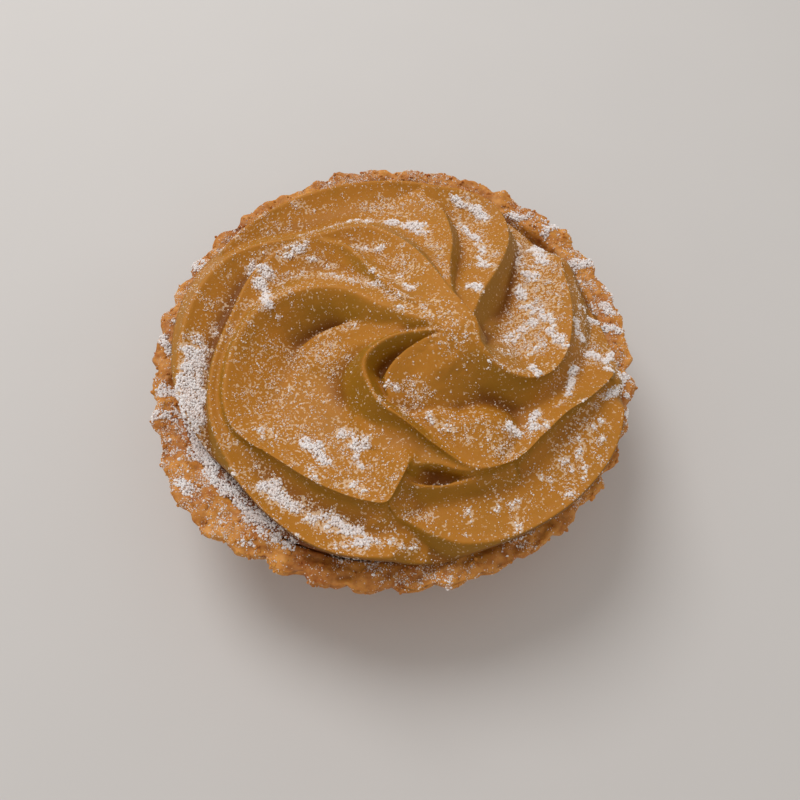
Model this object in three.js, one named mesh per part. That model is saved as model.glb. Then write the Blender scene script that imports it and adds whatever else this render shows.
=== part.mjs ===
// Mont blanc tart: a fluted pastry shell, baked filling and a piped swirl of chestnut cream.
// Millimetres, +Z up. The origin is the middle of the flat underside; -Y is the near side.
import * as THREE from 'three';

// ---- the pastry shell -------------------------------------------------------
const shell = {
  footRadius: 40.5, // underside, flat
  footChamfer: 1.0,
  rimRadius: 48.3, // outer edge of the rim, over the flutes
  rimHeight: 27.0,
  innerTop: 43.5, // inside radius at the rim
  innerFoot: 38.0, // inside radius at the floor
  floorThickness: 5.0,
  flutes: 38,
  fluteDepth: 1.2,
  stepsPerFlute: 6,
  rimUneven: 0.45, // how much the baked edge rises and falls
};
// the rim leans outwards at the near left
const lip = { direction: 222, spread: 17, reach: 2.8 };

// ---- the baked filling ------------------------------------------------------
const filling = { top: 25.4, sag: 0.5, gap: 0.3, segments: 72 };

// ---- the piped cream --------------------------------------------------------
const cream = {
  underside: 25.9, // rests just over the filling
  tip: [12.0, -7.2], // where the piping ended, off centre
  tipHeight: 23.0, // above the rim of the shell
  edgeHeight: 8.0, // crests at the outer edge, above the rim
  domePower: 1.15,
  deepest: 9.0, // no groove is deeper than this under the dome
  crestRounding: 0.3,
  creaseRounding: 0.6,
  cells: 58, // grid cells across the top
};
// radius of the cream's edge every 15 degrees, starting at +X
const creamEdge = [
  43.8, 42.5, 41.2, 40.6, 39.8, 39.0, 39.0, 39.6, 40.6, 42.2, 43.3, 43.6,
  43.2, 42.8, 41.8, 40.8, 42.5, 44.4, 44.6, 44.8, 46.0, 47.1, 47.4, 45.6,
];
// side of the cream, two coils one over the other: share of its height, how far it stands out
const creamSide = [[0.84, 0.5], [0.62, -0.5], [0.42, 0.5], [0.22, -0.3], [0.0, -2.2]];
// clear of the shell's rim: widest the cream may be at the rim, and how fast it may open over it
const rimClearance = { radius: 42.8, height: 28.0, opening: 6.0 };

// Every ridge the nozzle's teeth left. path: [direction in degrees, share of the way from the
// tip to the edge]; lift: height over the dome at start and end; inner and outer side:
// [drop, reach] at the start, then at the end; turn: the part of the path where one becomes
// the other; cap: [drop, reach] ahead of the end, where the fold stops short; beyond: how steeply
// the ground goes on falling past the reach, at start and end; roll: how far the crest is rolled
// over, easing down at first and steepest in the groove, at start and end.
const ridges = [
  {
    name: 'back right',
    path: [[39, 0.12], [45, 0.27], [45, 0.48], [47, 0.75], [55, 0.94], [66, 0.985], [80, 0.96]],
    lift: [-1.5, 0], inner: [2, 4, 5, 10], outer: [11, 9, 6, 3.5], turn: [0.3, 0.8],
  },
  {
    name: 'back, low',
    path: [[70, 0.15], [77, 0.25], [75, 0.42], [72, 0.6], [75, 0.82], [82, 0.93]],
    lift: [-2, -1], inner: [1.5, 4, 3, 8], outer: [2.5, 3, 5, 4], turn: [0, 0.4],
  },
  {
    name: 'back left',
    path: [
      [2, 0.1], [42, 0.11], [70, 0.15], [85, 0.24], [93, 0.4], [102, 0.57], [112, 0.67],
      [132, 0.72], [152, 0.89], [170, 0.94], [190, 0.97], [205, 1],
    ],
    lift: [0.2, 0], beyond: [0.9, 0.25], inner: [1, 6, 6.5, 11], outer: [9, 4.5, 5, 9],
    turn: [0.1, 0.6],
  },
  {
    name: 'left, outer',
    path: [
      [120, 0.1], [134, 0.22], [128, 0.42], [125, 0.6], [135, 0.73], [153, 0.77], [171, 0.78],
      [189, 0.84], [210, 0.93], [230, 1], [252, 1.01], [270, 0.99],
    ],
    lift: [-0.8, -0.4], beyond: [0.6, 0.8], inner: [4, 4.5, 4, 8], outer: [2.5, 5, 5, 3.5],
    turn: [0.15, 0.5],
  },
  {
    name: 'left, big fold',
    path: [
      [158, 0.1], [153, 0.27], [150, 0.42], [157, 0.55], [171, 0.69], [194, 0.8], [215, 0.88],
      [235, 0.825], [250, 0.79], [258, 0.783], [264.5, 0.775], [266, 0.7], [267, 0.62],
    ],
    lift: [-0.8, 1.2], roll: [0.8, 0.1], inner: [10, 6.5, 6.5, 13], outer: [2.5, 5, 6, 5],
    turn: [0.15, 0.6], cap: [6, 4],
  },
  {
    name: 'near, hooked',
    path: [
      [190, 0.08], [190, 0.2], [205, 0.33], [230, 0.4], [256, 0.43], [275, 0.53], [290, 0.65],
      [303, 0.69], [316, 0.67], [328, 0.69], [337, 0.79], [346, 0.92],
    ],
    lift: [-0.5, 1.3], roll: [0.5, 0], inner: [9, 4.5, 7, 11], outer: [7, 4.5, 5, 4.4],
    turn: [0.12, 0.7],
  },
  {
    name: 'near, lower edge',
    path: [[244, 0.545], [255, 0.55], [268, 0.575], [277, 0.6], [287, 0.66], [297, 0.69]],
    lift: [-3.6, 0.8], beyond: [1, 1], inner: [0.3, 6, 1.6, 8.5], outer: [5, 1.5, 8, 1.6],
    turn: [0.1, 0.5],
  },
  {
    name: 'right, over the tip',
    path: [
      [362, 0.1], [330, 0.12], [321, 0.2], [324, 0.33], [332, 0.47], [345, 0.6], [365, 0.73],
      [381, 0.83], [387, 0.9],
    ],
    lift: [0.2, 0.8], beyond: [0.9, 0.25], roll: [0.3, 0.5], inner: [9, 4.5, 12, 17],
    outer: [1.5, 5, 10, 7.5], turn: [0.1, 0.38],
  },
  {
    name: 'under the hook',
    path: [[205, 0.04], [208, 0.17], [222, 0.31], [238, 0.36]],
    lift: [-0.3, -2.6], inner: [1, 5, 3, 10], outer: [8, 1.4, 6, 1.4], turn: [0, 0.5],
  },
  {
    name: 'under the big fold',
    path: [[150, 0.2], [156, 0.27], [161, 0.33], [166, 0.39], [171, 0.46], [178, 0.53]],
    lift: [-2.2, -7.4], beyond: [0.6, 0.4], inner: [1, 6, 1.2, 8], outer: [7, 1.4, 3, 2.5],
    turn: [0.3, 1],
  },
  {
    name: 'near, tucked under',
    path: [
      [265, 0.765], [265, 0.71], [267, 0.672], [273, 0.677], [281, 0.69], [292, 0.69],
      [304, 0.72],
    ],
    lift: [-2, -1], inner: [6.5, 1.6, 6.5, 1.6], outer: [4.4, 6, 4.4, 6], turn: [0, 0.5],
  },
  {
    name: 'near right edge',
    path: [[265, 0.78], [272, 0.83], [279, 0.9], [289, 0.975], [305, 1], [339, 1]],
    lift: [-2.8, -0.5], inner: [2.5, 3, 2.5, 10], outer: [6, 4, 6, 4], turn: [0.1, 0.6],
  },
  {
    name: 'back edge',
    path: [[76, 0.97], [90, 0.985], [120, 0.98], [150, 0.95]],
    lift: [0, -1], inner: [6, 7, 4, 7], outer: [5, 4, 5, 4], turn: [0, 0.5],
  },
];
const pathSteps = 90;

// ---- helpers ----------------------------------------------------------------
const radians = Math.PI / 180;
const clamp = (v, low, high) => Math.min(high, Math.max(low, v));
const mix = (a, b, t) => a + (b - a) * t;
const smoothstep = (v, low, high) => {
  const t = clamp((v - low) / (high - low), 0, 1);
  return t * t * (3 - 2 * t);
};
const smoothMax = (a, b, width) => {
  const h = clamp(0.5 + (0.5 * (b - a)) / width, 0, 1);
  return mix(a, b, h) + width * h * (1 - h);
};
const spline = (p0, p1, p2, p3, t) =>
  0.5 * (2 * p1 + (p2 - p0) * t + (2 * p0 - 5 * p1 + 4 * p2 - p3) * t * t
    + (3 * p1 - p0 - 3 * p2 + p3) * t * t * t);
// an even-looking unevenness that comes out the same on every run
const uneven = (index, seed) => Math.sin(index * 12.9898 + seed * 78.233) * Math.cos(index * 4.137 + seed);
const degreesApart = (a, b) => ((a - b + 540) % 360) - 180;

function meshOf(name, positions, faces, color, roughness) {
  const geometry = new THREE.BufferGeometry();
  geometry.setAttribute('position', new THREE.Float32BufferAttribute(positions.flat(), 3));
  geometry.setIndex(faces.flat());
  geometry.computeVertexNormals();
  const mesh = new THREE.Mesh(geometry, new THREE.MeshStandardMaterial({ color, roughness }));
  mesh.name = name;
  return mesh;
}

// rings of the same number of points, from the middle of the underside round to the middle on top
function closedRings(rings, bottomHeight, topHeight) {
  const positions = rings.flat();
  const faces = [];
  const count = rings[0].length;
  for (let row = 0; row + 1 < rings.length; row += 1) {
    for (let i = 0; i < count; i += 1) {
      const next = (i + 1) % count;
      const [a, b] = [row * count + i, row * count + next];
      faces.push([a, b, b + count], [a, b + count, a + count]);
    }
  }
  const bottom = positions.push([0, 0, bottomHeight]) - 1;
  const top = positions.push([0, 0, topHeight]) - 1;
  const last = (rings.length - 1) * count;
  for (let i = 0; i < count; i += 1) {
    const next = (i + 1) % count;
    faces.push([bottom, next, i], [top, last + i, last + next]);
  }
  return { positions, faces };
}

// ---- shell ------------------------------------------------------------------
function buildShell() {
  const { footRadius, footChamfer, rimRadius, rimHeight, innerTop, innerFoot, floorThickness } = shell;
  // radius, height, share of the flutes, share of the rim's unevenness
  const profile = [
    [footRadius - footChamfer, 0, 0.6, 0],
    [footRadius, footChamfer, 1, 0],
    [mix(footRadius, rimRadius, 0.55), rimHeight * 0.52, 1, 0],
    [rimRadius, rimHeight - 1.4, 1, 0.5],
    [rimRadius - 0.5, rimHeight - 0.2, 0.85, 1],
    [mix(innerTop, rimRadius, 0.4), rimHeight + 0.2, 0.15, 0.5],
    [innerTop, rimHeight - 0.7, 0, 0],
    [innerFoot, floorThickness, 0, 0],
  ];
  const count = shell.flutes * shell.stepsPerFlute;
  const rings = profile.map(([radius, height, flute, rough]) => Array.from({ length: count }, (_, i) => {
    const angle = (i / count) * 360;
    const lobe = Math.abs(Math.cos((angle * radians * shell.flutes) / 2));
    const which = Math.round((i / count) * shell.flutes) % shell.flutes;
    const lean = lip.reach * Math.exp(-((degreesApart(angle, lip.direction) / lip.spread) ** 2));
    const high = clamp((height - rimHeight * 0.5) / (rimHeight * 0.5), 0, 1);
    const r = radius - shell.fluteDepth * flute * (1 - lobe) + lean * high * Math.min(flute * 1.5, 1)
      + 0.35 * rough * uneven(which, 1);
    const z = height + shell.rimUneven * rough * uneven(which, 2);
    return [r * Math.cos(angle * radians), r * Math.sin(angle * radians), z];
  }));
  const { positions, faces } = closedRings(rings, 0, floorThickness);
  return meshOf('crust', positions, faces, 0xb8742f, 0.85);
}

// ---- filling ----------------------------------------------------------------
function buildFilling() {
  const wallAt = (height) => mix(
    shell.innerFoot,
    shell.innerTop,
    (height - shell.floorThickness) / (shell.rimHeight - 0.7 - shell.floorThickness),
  ) - filling.gap - 0.1;
  const foot = shell.floorThickness + filling.gap;
  const profile = [
    [wallAt(foot), foot],
    [wallAt(filling.top - 0.8), filling.top - 0.8],
    [wallAt(filling.top) - 0.8, filling.top],
    [wallAt(filling.top) * 0.6, filling.top - filling.sag],
  ];
  const rings = profile.map(([radius, height]) => Array.from({ length: filling.segments }, (_, i) => {
    const angle = (i / filling.segments) * 360 * radians;
    return [radius * Math.cos(angle), radius * Math.sin(angle), height];
  }));
  const { positions, faces } = closedRings(rings, foot, filling.top - filling.sag);
  return meshOf('filling', positions, faces, 0x9a5a22, 0.8);
}

// ---- cream ------------------------------------------------------------------
function edgeRadius(angle) {
  const step = 360 / creamEdge.length;
  const place = (((angle % 360) + 360) % 360) / step;
  const i = Math.floor(place);
  const at = (k) => creamEdge[(i + k + creamEdge.length) % creamEdge.length];
  return spline(at(-1), at(0), at(1), at(2), place - i);
}

// share 0 is the tip, share 1 the edge of the cream in that direction
function swirlPoint(angle, share) {
  const r = edgeRadius(angle);
  return [
    mix(cream.tip[0], r * Math.cos(angle * radians), share),
    mix(cream.tip[1], r * Math.sin(angle * radians), share),
  ];
}

const domeHeight = (share) => cream.edgeHeight
  + (cream.tipHeight - cream.edgeHeight) * (1 - clamp(Math.hypot(share, 0.05), 0, 1)) ** cream.domePower;

// the ridge as a chain of points with what each needs for its two sides
function ridgeChain(ridge) {
  const { path } = ridge;
  const before = path[0].map((v, k) => 2 * v - path[1][k]);
  const after = path.at(-1).map((v, k) => 2 * v - path.at(-2)[k]);
  const stations = [before, ...path, after];
  return Array.from({ length: pathSteps + 1 }, (_, step) => {
    const along = step / pathSteps;
    const place = along * (path.length - 1);
    const i = Math.min(Math.floor(place), path.length - 2);
    const [angle, share] = [0, 1].map((k) => spline(
      stations[i][k], stations[i + 1][k], stations[i + 2][k], stations[i + 3][k], place - i,
    ));
    const g = smoothstep(along, ...ridge.turn);
    const [x, y] = swirlPoint(angle, share);
    return {
      x, y, lift: mix(...ridge.lift, along),
      beyond: mix(...(ridge.beyond ?? [0.6, 0.25]), g), roll: mix(...(ridge.roll ?? [0, 0]), g),
      innerDrop: mix(ridge.inner[0], ridge.inner[2], g), innerReach: mix(ridge.inner[1], ridge.inner[3], g),
      outerDrop: mix(ridge.outer[0], ridge.outer[2], g), outerReach: mix(ridge.outer[1], ridge.outer[3], g),
    };
  });
}
const chains = ridges.map((ridge) => ({ chain: ridgeChain(ridge), cap: ridge.cap }));

// how far the side of a ridge has fallen at this distance: steep at first and easing into the
// groove, or the other way about where the crest is rolled over
function sideDrop(distance, drop, reach, beyond, roll) {
  const d = Math.hypot(distance, cream.crestRounding) - cream.crestRounding;
  const power = 1.55 + 0.35 * clamp((drop / reach - 0.4) / 0.6, 0, 1);
  const share = Math.min(d / reach, 1);
  const eased = drop * mix(1 - (1 - share) ** power, share ** 1.5, roll);
  return eased + beyond * Math.max(d - reach, 0);
}

function creamHeight(x, y, share) {
  let relief = -cream.deepest;
  for (const { chain, cap } of chains) {
    let best = -Infinity;
    for (let i = 0; i + 1 < chain.length; i += 1) {
      const [a, b] = [chain[i], chain[i + 1]];
      const [dx, dy] = [b.x - a.x, b.y - a.y];
      const length = Math.hypot(dx, dy);
      const t = clamp(((x - a.x) * dx + (y - a.y) * dy) / (length * length), 0, 1);
      const [ex, ey] = [x - a.x - t * dx, y - a.y - t * dy];
      const distance = Math.max(Math.hypot(ex, ey), 1e-6);
      const inside = 0.5 + (0.5 * (dx * ey - dy * ex)) / (length * distance);
      let drop = mix(a.outerDrop, a.innerDrop, inside);
      let reach = mix(a.outerReach, a.innerReach, inside);
      if (cap && i === chain.length - 2) {
        const ahead = Math.sqrt(clamp((ex * dx + ey * dy) / (length * distance), 0, 1));
        drop = mix(drop, cap[0], ahead);
        reach = mix(reach, cap[1], ahead);
      }
      const fall = sideDrop(distance, drop, reach, a.beyond, a.roll);
      best = Math.max(best, mix(a.lift, b.lift, t) - fall);
    }
    relief = smoothMax(relief, best, cream.creaseRounding);
  }
  return shell.rimHeight + domeHeight(share) + relief;
}

function buildCream() {
  const n = cream.cells + 1;
  const positions = [];
  const faces = [];
  const angles = [];
  // a square grid pressed into the round outline, so no cell is pinched at the tip
  for (let row = 0; row < n; row += 1) {
    for (let column = 0; column < n; column += 1) {
      const u = (2 * column) / cream.cells - 1;
      const v = (2 * row) / cream.cells - 1;
      const share = Math.max(Math.abs(u), Math.abs(v));
      let angle = 0;
      if (share > 0) {
        angle = Math.abs(u) >= Math.abs(v)
          ? (u > 0 ? 0 : 180) + (45 * v) / u
          : (v > 0 ? 90 : 270) - (45 * u) / v;
      }
      const [x, y] = swirlPoint(angle, share);
      positions.push([x, y, creamHeight(x, y, share)]);
      angles.push(angle);
    }
  }
  for (let row = 0; row + 1 < n; row += 1) {
    for (let column = 0; column + 1 < n; column += 1) {
      const a = row * n + column;
      const [b, c, d] = [a + 1, a + n + 1, a + n];
      const fall = (p, q) => Math.abs(positions[p][2] - positions[q][2]);
      // each cell is split along its flatter diagonal, so a crest isn't sawn up
      if (fall(a, c) <= fall(b, d)) faces.push([a, b, c], [a, c, d]);
      else faces.push([a, b, d], [b, c, d]);
    }
  }
  const last = n - 1;
  const rim = [];
  for (let i = 0; i < last; i += 1) rim.push(i);
  for (let i = 0; i < last; i += 1) rim.push(i * n + last);
  for (let i = last; i > 0; i -= 1) rim.push(last * n + i);
  for (let i = last; i > 0; i -= 1) rim.push(i * n);

  let above = rim;
  for (const [share, out] of creamSide) {
    const ring = rim.map((id) => {
      const angle = angles[id];
      const z = mix(cream.underside, positions[id][2], share);
      const widest = rimClearance.radius + rimClearance.opening * Math.max(0, z - rimClearance.height);
      const r = Math.min(edgeRadius(angle) + out, widest - (share === 0 ? 1.3 : 0));
      return positions.push([r * Math.cos(angle * radians), r * Math.sin(angle * radians), z]) - 1;
    });
    for (let i = 0; i < ring.length; i += 1) {
      const next = (i + 1) % ring.length;
      faces.push([above[i], ring[i], ring[next]], [above[i], ring[next], above[next]]);
    }
    above = ring;
  }
  const middle = positions.push([0, 0, cream.underside]) - 1;
  for (let i = 0; i < above.length; i += 1) {
    faces.push([above[i], middle, above[(i + 1) % above.length]]);
  }
  return meshOf('cream', positions, faces, 0xb57a35, 0.6);
}

const tart = new THREE.Group();
tart.name = 'mont_blanc_tart';
tart.add(buildShell(), buildFilling(), buildCream());
export default tart;
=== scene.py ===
"""Chestnut cream tart: baked crust, almond filling, a piped swirl of chestnut cream, icing sugar.

Sizes in the tables are millimetres, as a maker would measure them; meshes are metres. The swirl is
worked out over the plan: every fold that the nozzle laid is a path with a crest and two sides, and
the sugar falls by drifts that are placed over the same plan.
"""

import math

import bpy
import numpy as np
from bpy.props import FloatProperty, FloatVectorProperty, IntProperty, PointerProperty
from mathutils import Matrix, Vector


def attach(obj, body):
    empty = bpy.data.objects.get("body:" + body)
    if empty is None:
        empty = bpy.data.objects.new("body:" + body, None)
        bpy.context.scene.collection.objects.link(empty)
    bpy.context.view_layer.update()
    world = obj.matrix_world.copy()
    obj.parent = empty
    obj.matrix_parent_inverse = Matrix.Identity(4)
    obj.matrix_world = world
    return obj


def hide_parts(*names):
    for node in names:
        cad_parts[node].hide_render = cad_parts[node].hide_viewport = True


bl_info = {
    "name": "Chestnut cream tart",
    "version": (1, 0, 0),
    "blender": (4, 5, 0),
    "location": "3D View > Sidebar > Tart",
    "description": "Makes a tart: crust, filling, piped cream, icing sugar, crumbs and stage",
    "category": "Add Mesh",
}

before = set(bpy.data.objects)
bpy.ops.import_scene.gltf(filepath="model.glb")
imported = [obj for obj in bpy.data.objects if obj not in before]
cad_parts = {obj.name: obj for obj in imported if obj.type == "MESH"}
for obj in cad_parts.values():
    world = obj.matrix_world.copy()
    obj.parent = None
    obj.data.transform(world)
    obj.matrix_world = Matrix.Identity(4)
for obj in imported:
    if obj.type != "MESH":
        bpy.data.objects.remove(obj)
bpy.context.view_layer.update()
MM = 0.001

# ---- the stage -------------------------------------------------------------------------------
# the soft window over the tart: where it hangs and how wide it is, both in metres, and its watts
LAMP, LAMP_WIDTH, LAMP_POWER = (-0.2, 0.28, 0.56), 0.34, 2.1
ROOM_TINT, ROOM_LIGHT = (1.0, 0.98, 0.95, 1.0), 0.55
FLOOR_HALF_WIDTH = 900.0
# the eye: where it is, its tilt from straight down in degrees, its lens on film of this width
EYE, EYE_TILT, EYE_LENS, EYE_FILM = (1.6, -75.9, 160.3), 25.95, 33.68, 36.0
NEAREST_SEEN = 5.0

# ---- the crust and the filling, as the solids have them --------------------------------------
FOOT_RADIUS, FOOT_CHAMFER = 40.5, 1.0
RIM_RADIUS, RIM_HEIGHT = 48.3, 27.0
INNER_TOP, INNER_FOOT, FLOOR_THICKNESS = 43.5, 38.0, 5.0
# how far below the rim the inner wall starts
INNER_LIP = 0.7
# the rim leans outwards round this direction; share of the height where that begins
LIP_DIRECTION, LIP_SPREAD, LIP_REACH, LIP_START = 222.0, 17.0, 2.8, 0.5
RIM_FLARE, FLARE_START = 0.8, 0.6
STEPS_PER_FLUTE = 20
# lumps of the baked rim and of its crumb, and the height under which the underside stays flat
KNOB_SIZE, CRUMB_SIZE, FLAT_BELOW = 4.2, 1.3, 0.4
FILLING_TOP, FILLING_SAG, FILLING_GAP, FILLING_STEPS = 25.4, 0.5, 0.3, 420
# the filling shows bare between these directions (degrees: from none to full, and back) and radii,
# where it swelled up to the rim and out against it
BARE_FROM, BARE_TO, BARE_RADII = (160, 190), (245, 275), (38.5, 41.0)
BARE_SWELL, BARE_SPREAD = 2.0, 0.7
# its top rises unevenly, in lumps of this size, from this far below
FILLING_RISE, FILLING_LUMPS, FILLING_SINK = 0.9, 3.0, 0.5

# ---- the cream -------------------------------------------------------------------------------
CREAM_UNDERSIDE = 25.9
TIP = (12.0, -7.2)
TIP_HEIGHT, EDGE_HEIGHT, DOME_POWER = 23.0, 8.0, 1.15
DEEPEST, CREST_ROUNDING, CREASE_ROUNDING = 10.0, 0.2, 0.6
# radius of the cream's edge every 15 degrees, starting at +X
CREAM_EDGE = np.array([
    43.8, 42.5, 41.2, 40.6, 39.8, 39.0, 39.0, 39.6, 40.6, 42.2, 43.3, 43.6,
    43.2, 42.8, 41.8, 40.8, 42.5, 44.4, 44.6, 44.8, 46.0, 47.1, 47.4, 45.6,
])
# side of the cream: share of its height, how far it stands out; rows of faces down it; how far the
# underside is set back
CREAM_SIDE = ((1.0, 0.0), (0.88, 0.2), (0.66, -0.5), (0.42, -1.6), (0.2, -3.0), (0.0, -4.4))
SIDE_ROWS, UNDERSIDE_STEP = 18, 1.3
# the side draws in most in this direction and least across from it, as a share of CREAM_SIDE
UNDERCUT_DIRECTION, UNDERCUT_LEAST = 300, 0.3
RIM_CLEAR_RADIUS, RIM_CLEAR_HEIGHT, RIM_CLEAR_OPENING = 42.8, 28.0, 6.0
# faces across the top of the cream
CREAM_CELLS = 264
# an outer side is drawn in most this far out from its crest, and no more at the second distance
TUCK_FULL, TUCK_END = 0.9, 4.5
# drag lines of the nozzle: how high, how far apart, how much they wander, over what length
DRAG_HEIGHT, DRAG_SPACING, DRAG_WANDER, DRAG_LENGTH = 0.1, 0.9, 1.2, 9.0
RIPPLE_HEIGHT, RIPPLE_SIZE = 0.2, 2.4
# the torn surface at the tip: how rough, lumps of this size, shares where it fades and ends
TORN_HEIGHT, TORN_SIZE, TORN_FADE, TORN_END = 0.5, 1.2, 0.1, 0.26
# the tuck fades out between these shares, so that the edge keeps its outline
EDGE_FADE = (0.93, 0.98)
# the material's own drag lines: how close across a fold, how much they wander
FLOW_CLOSE, FLOW_WANDER = 1.6, 2
# painted shade: a fold is darkened where it lies this far under the surface blurred over this many cells
DEEP_FROM, DEEP_FULL, DEEP_CELLS = 0.35, 2.2, 9
# how much painted shade, in the fold cream, the low folds take, and the cream's side
DEEP_SHADE, SIDE_SHADE = 0.8, 0.5

# ---- the sugar -------------------------------------------------------------------------------
# how far grains stray from a drift, and the lumps of that wander, of patches and of clumps
STRAY, STRAY_SIZE, PATCH_SIZE, CLUMP_SIZE = 1.8, 2.6, 6.0, 1.3
# where noise or cover begins to make a patch, a clump, a heap and a bank, and where it is full
PATCH_EDGE, CLUMP_EDGE, HEAP_EDGE, BANK_EDGE = (0.35, 0.75), (0.42, 0.63), (0.7, 1.2), (0.85, 1.25)
# fine sugar: share of the cover between the clumps, added in them, and what strays everywhere
FINE_LOOSE, FINE_CLUMPED, FINE_STRAY = 0.1, 1.15, 0.015
# the share that holds on a steep face, and how much more level a face must be to hold it all
STEEP_SHARE, STEEP_FADE = 0.06, 0.45
# each ground: its piece, the sugar that falls all over it, how level a face must be to hold any (0
# is upright and 1 level), and the radius within which and the height under which none lands
SUGAR_GROUNDS = (
    ("crust_baked", 0.55, 0.1, 0, 20),
    ("filling_baked", 1.0, 0.2, 36, 0),
    ("cream_piped", 0.08, 0.45, 0, 20),
)
# grains are flattened and stretched between these; their dents are this share of their radius
GRAIN_LEAST, GRAIN_MOST, DENT_SIZE = (0.75, 0.75, 0.6), (1.2, 1.2, 1.0), 0.7
CRUMBS_PER_SQUARE_METRE = 0.3e6

# seeds of everything uneven, so that each run gives the same tart
SEEDS = dict(
    filling=41, wander=53, drag=61, ripple=71, torn=77, crumbs=83, stray_x=91, stray_y=97,
    patches=23, clumps=11,
)

# Every fold. path: (direction in degrees, share of the way from tip to edge); lift: crest over the
# dome at start and end; inner and outer: (drop, reach) of a side at the start, then at the end;
# turn: where along the path one becomes the other; cap: (drop, reach) ahead of the end; tuck: how
# far the outer side is drawn in under its crest, and where along the path that begins and is full;
# beyond: how steeply the ground goes on falling past the sides' reach, at the start and the end;
# roll: how far the crest is rolled over, easing down at first and steepest in the groove, likewise.
RIDGES = (
    dict(
        name="back right",
        path=((39, 0.12), (45, 0.27), (45, 0.48), (47, 0.75), (55, 0.94), (66, 0.985), (80, 0.96)),
        lift=(-1.5, 0), inner=(2, 4, 5, 10), outer=(11, 9, 6, 3.5), turn=(0.3, 0.8),
    ),
    dict(
        name="back, low",
        path=((70, 0.15), (77, 0.25), (75, 0.42), (72, 0.6), (75, 0.82), (82, 0.93)),
        lift=(-2, -1), inner=(1.5, 4, 3, 8), outer=(2.5, 3, 5, 4), turn=(0, 0.4),
    ),
    dict(
        name="back left",
        path=(
            (2, 0.1), (42, 0.11), (70, 0.15), (85, 0.24), (93, 0.4), (102, 0.57), (112, 0.67),
            (132, 0.72), (152, 0.89), (170, 0.94), (190, 0.97), (205, 1),
        ),
        lift=(0.2, 0), beyond=(0.9, 0.25), inner=(1, 6, 6.5, 11), outer=(9, 4.5, 5, 9), turn=(0.1, 0.6),
    ),
    dict(
        name="left, outer",
        path=(
            (120, 0.1), (134, 0.22), (128, 0.42), (125, 0.6), (135, 0.73), (153, 0.77), (171, 0.78),
            (189, 0.84), (210, 0.93), (230, 1), (252, 1.01), (270, 0.99),
        ),
        lift=(-0.8, -0.4), beyond=(0.6, 0.8), inner=(4, 4.5, 4, 8), outer=(2.5, 5, 5, 3.5),
        turn=(0.15, 0.5),
    ),
    dict(
        name="left, big fold",
        path=(
            (158, 0.1), (153, 0.27), (150, 0.42), (157, 0.55), (171, 0.69), (194, 0.8), (215, 0.88),
            (235, 0.825), (250, 0.79), (258, 0.783), (264.5, 0.775), (266, 0.7), (267, 0.62),
        ),
        lift=(-0.8, 1.2), roll=(0.8, 0.1), inner=(10, 6.5, 6.5, 13), outer=(2.5, 5, 6, 5),
        turn=(0.15, 0.6), cap=(6, 4), tuck=(1.7, 0.42, 0.56),
    ),
    dict(
        name="near, hooked",
        path=(
            (190, 0.08), (190, 0.2), (205, 0.33), (230, 0.4), (256, 0.43), (275, 0.53), (290, 0.65),
            (303, 0.69), (316, 0.67), (328, 0.69), (337, 0.79), (346, 0.92),
        ),
        lift=(-0.5, 1.3), roll=(0.5, 0), inner=(9, 4.5, 7, 11), outer=(7, 4.5, 5, 4.4), turn=(0.12, 0.7),
        tuck=(1.8, 0.28, 0.42),
    ),
    dict(
        name="near, lower edge",
        path=((244, 0.545), (255, 0.55), (268, 0.575), (277, 0.6), (287, 0.66), (297, 0.69)),
        lift=(-3.6, 0.8), beyond=(1, 1), inner=(0.3, 6, 1.6, 8.5), outer=(5, 1.5, 8, 1.6),
        turn=(0.1, 0.5),
    ),
    dict(
        name="right, over the tip",
        path=(
            (362, 0.1), (330, 0.12), (321, 0.2), (324, 0.33), (332, 0.47), (345, 0.6), (365, 0.73),
            (381, 0.83), (387, 0.9),
        ),
        lift=(0.2, 0.8), beyond=(0.9, 0.25), roll=(0.3, 0.5), inner=(9, 4.5, 12, 17),
        outer=(1.5, 5, 10, 7.5), turn=(0.1, 0.38), tuck=(2, 0.35, 0.6),
    ),
    dict(
        name="under the hook",
        path=((205, 0.04), (208, 0.17), (222, 0.31), (238, 0.36)),
        lift=(-0.3, -2.6), inner=(1, 5, 3, 10), outer=(8, 1.4, 6, 1.4), turn=(0, 0.5),
        tuck=(1.2, -0.2, -0.1),
    ),
    dict(
        name="under the big fold",
        path=((150, 0.2), (156, 0.27), (161, 0.33), (166, 0.39), (171, 0.46), (178, 0.53)),
        lift=(-2.2, -7.4), beyond=(0.6, 0.4), inner=(1, 6, 1.2, 8), outer=(7, 1.4, 3, 2.5), turn=(0.3, 1),
    ),
    dict(
        name="near, tucked under",
        path=(
            (265, 0.765), (265, 0.71), (267, 0.672), (273, 0.677), (281, 0.69), (292, 0.69), (304, 0.72),
        ),
        lift=(-2, -1), inner=(6.5, 1.6, 6.5, 1.6), outer=(4.4, 6, 4.4, 6), turn=(0, 0.5),
    ),
    dict(
        name="near right edge",
        path=((265, 0.78), (272, 0.83), (279, 0.9), (289, 0.975), (305, 1), (339, 1)),
        lift=(-2.8, -0.5), inner=(2.5, 3, 2.5, 10), outer=(6, 4, 6, 4), turn=(0.1, 0.6),
    ),
    dict(
        name="back edge",
        path=((76, 0.97), (90, 0.985), (120, 0.98), (150, 0.95)),
        lift=(0, -1), inner=(6, 7, 4, 7), outer=(5, 4, 5, 4), turn=(0, 0.5),
    ),
)
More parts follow.
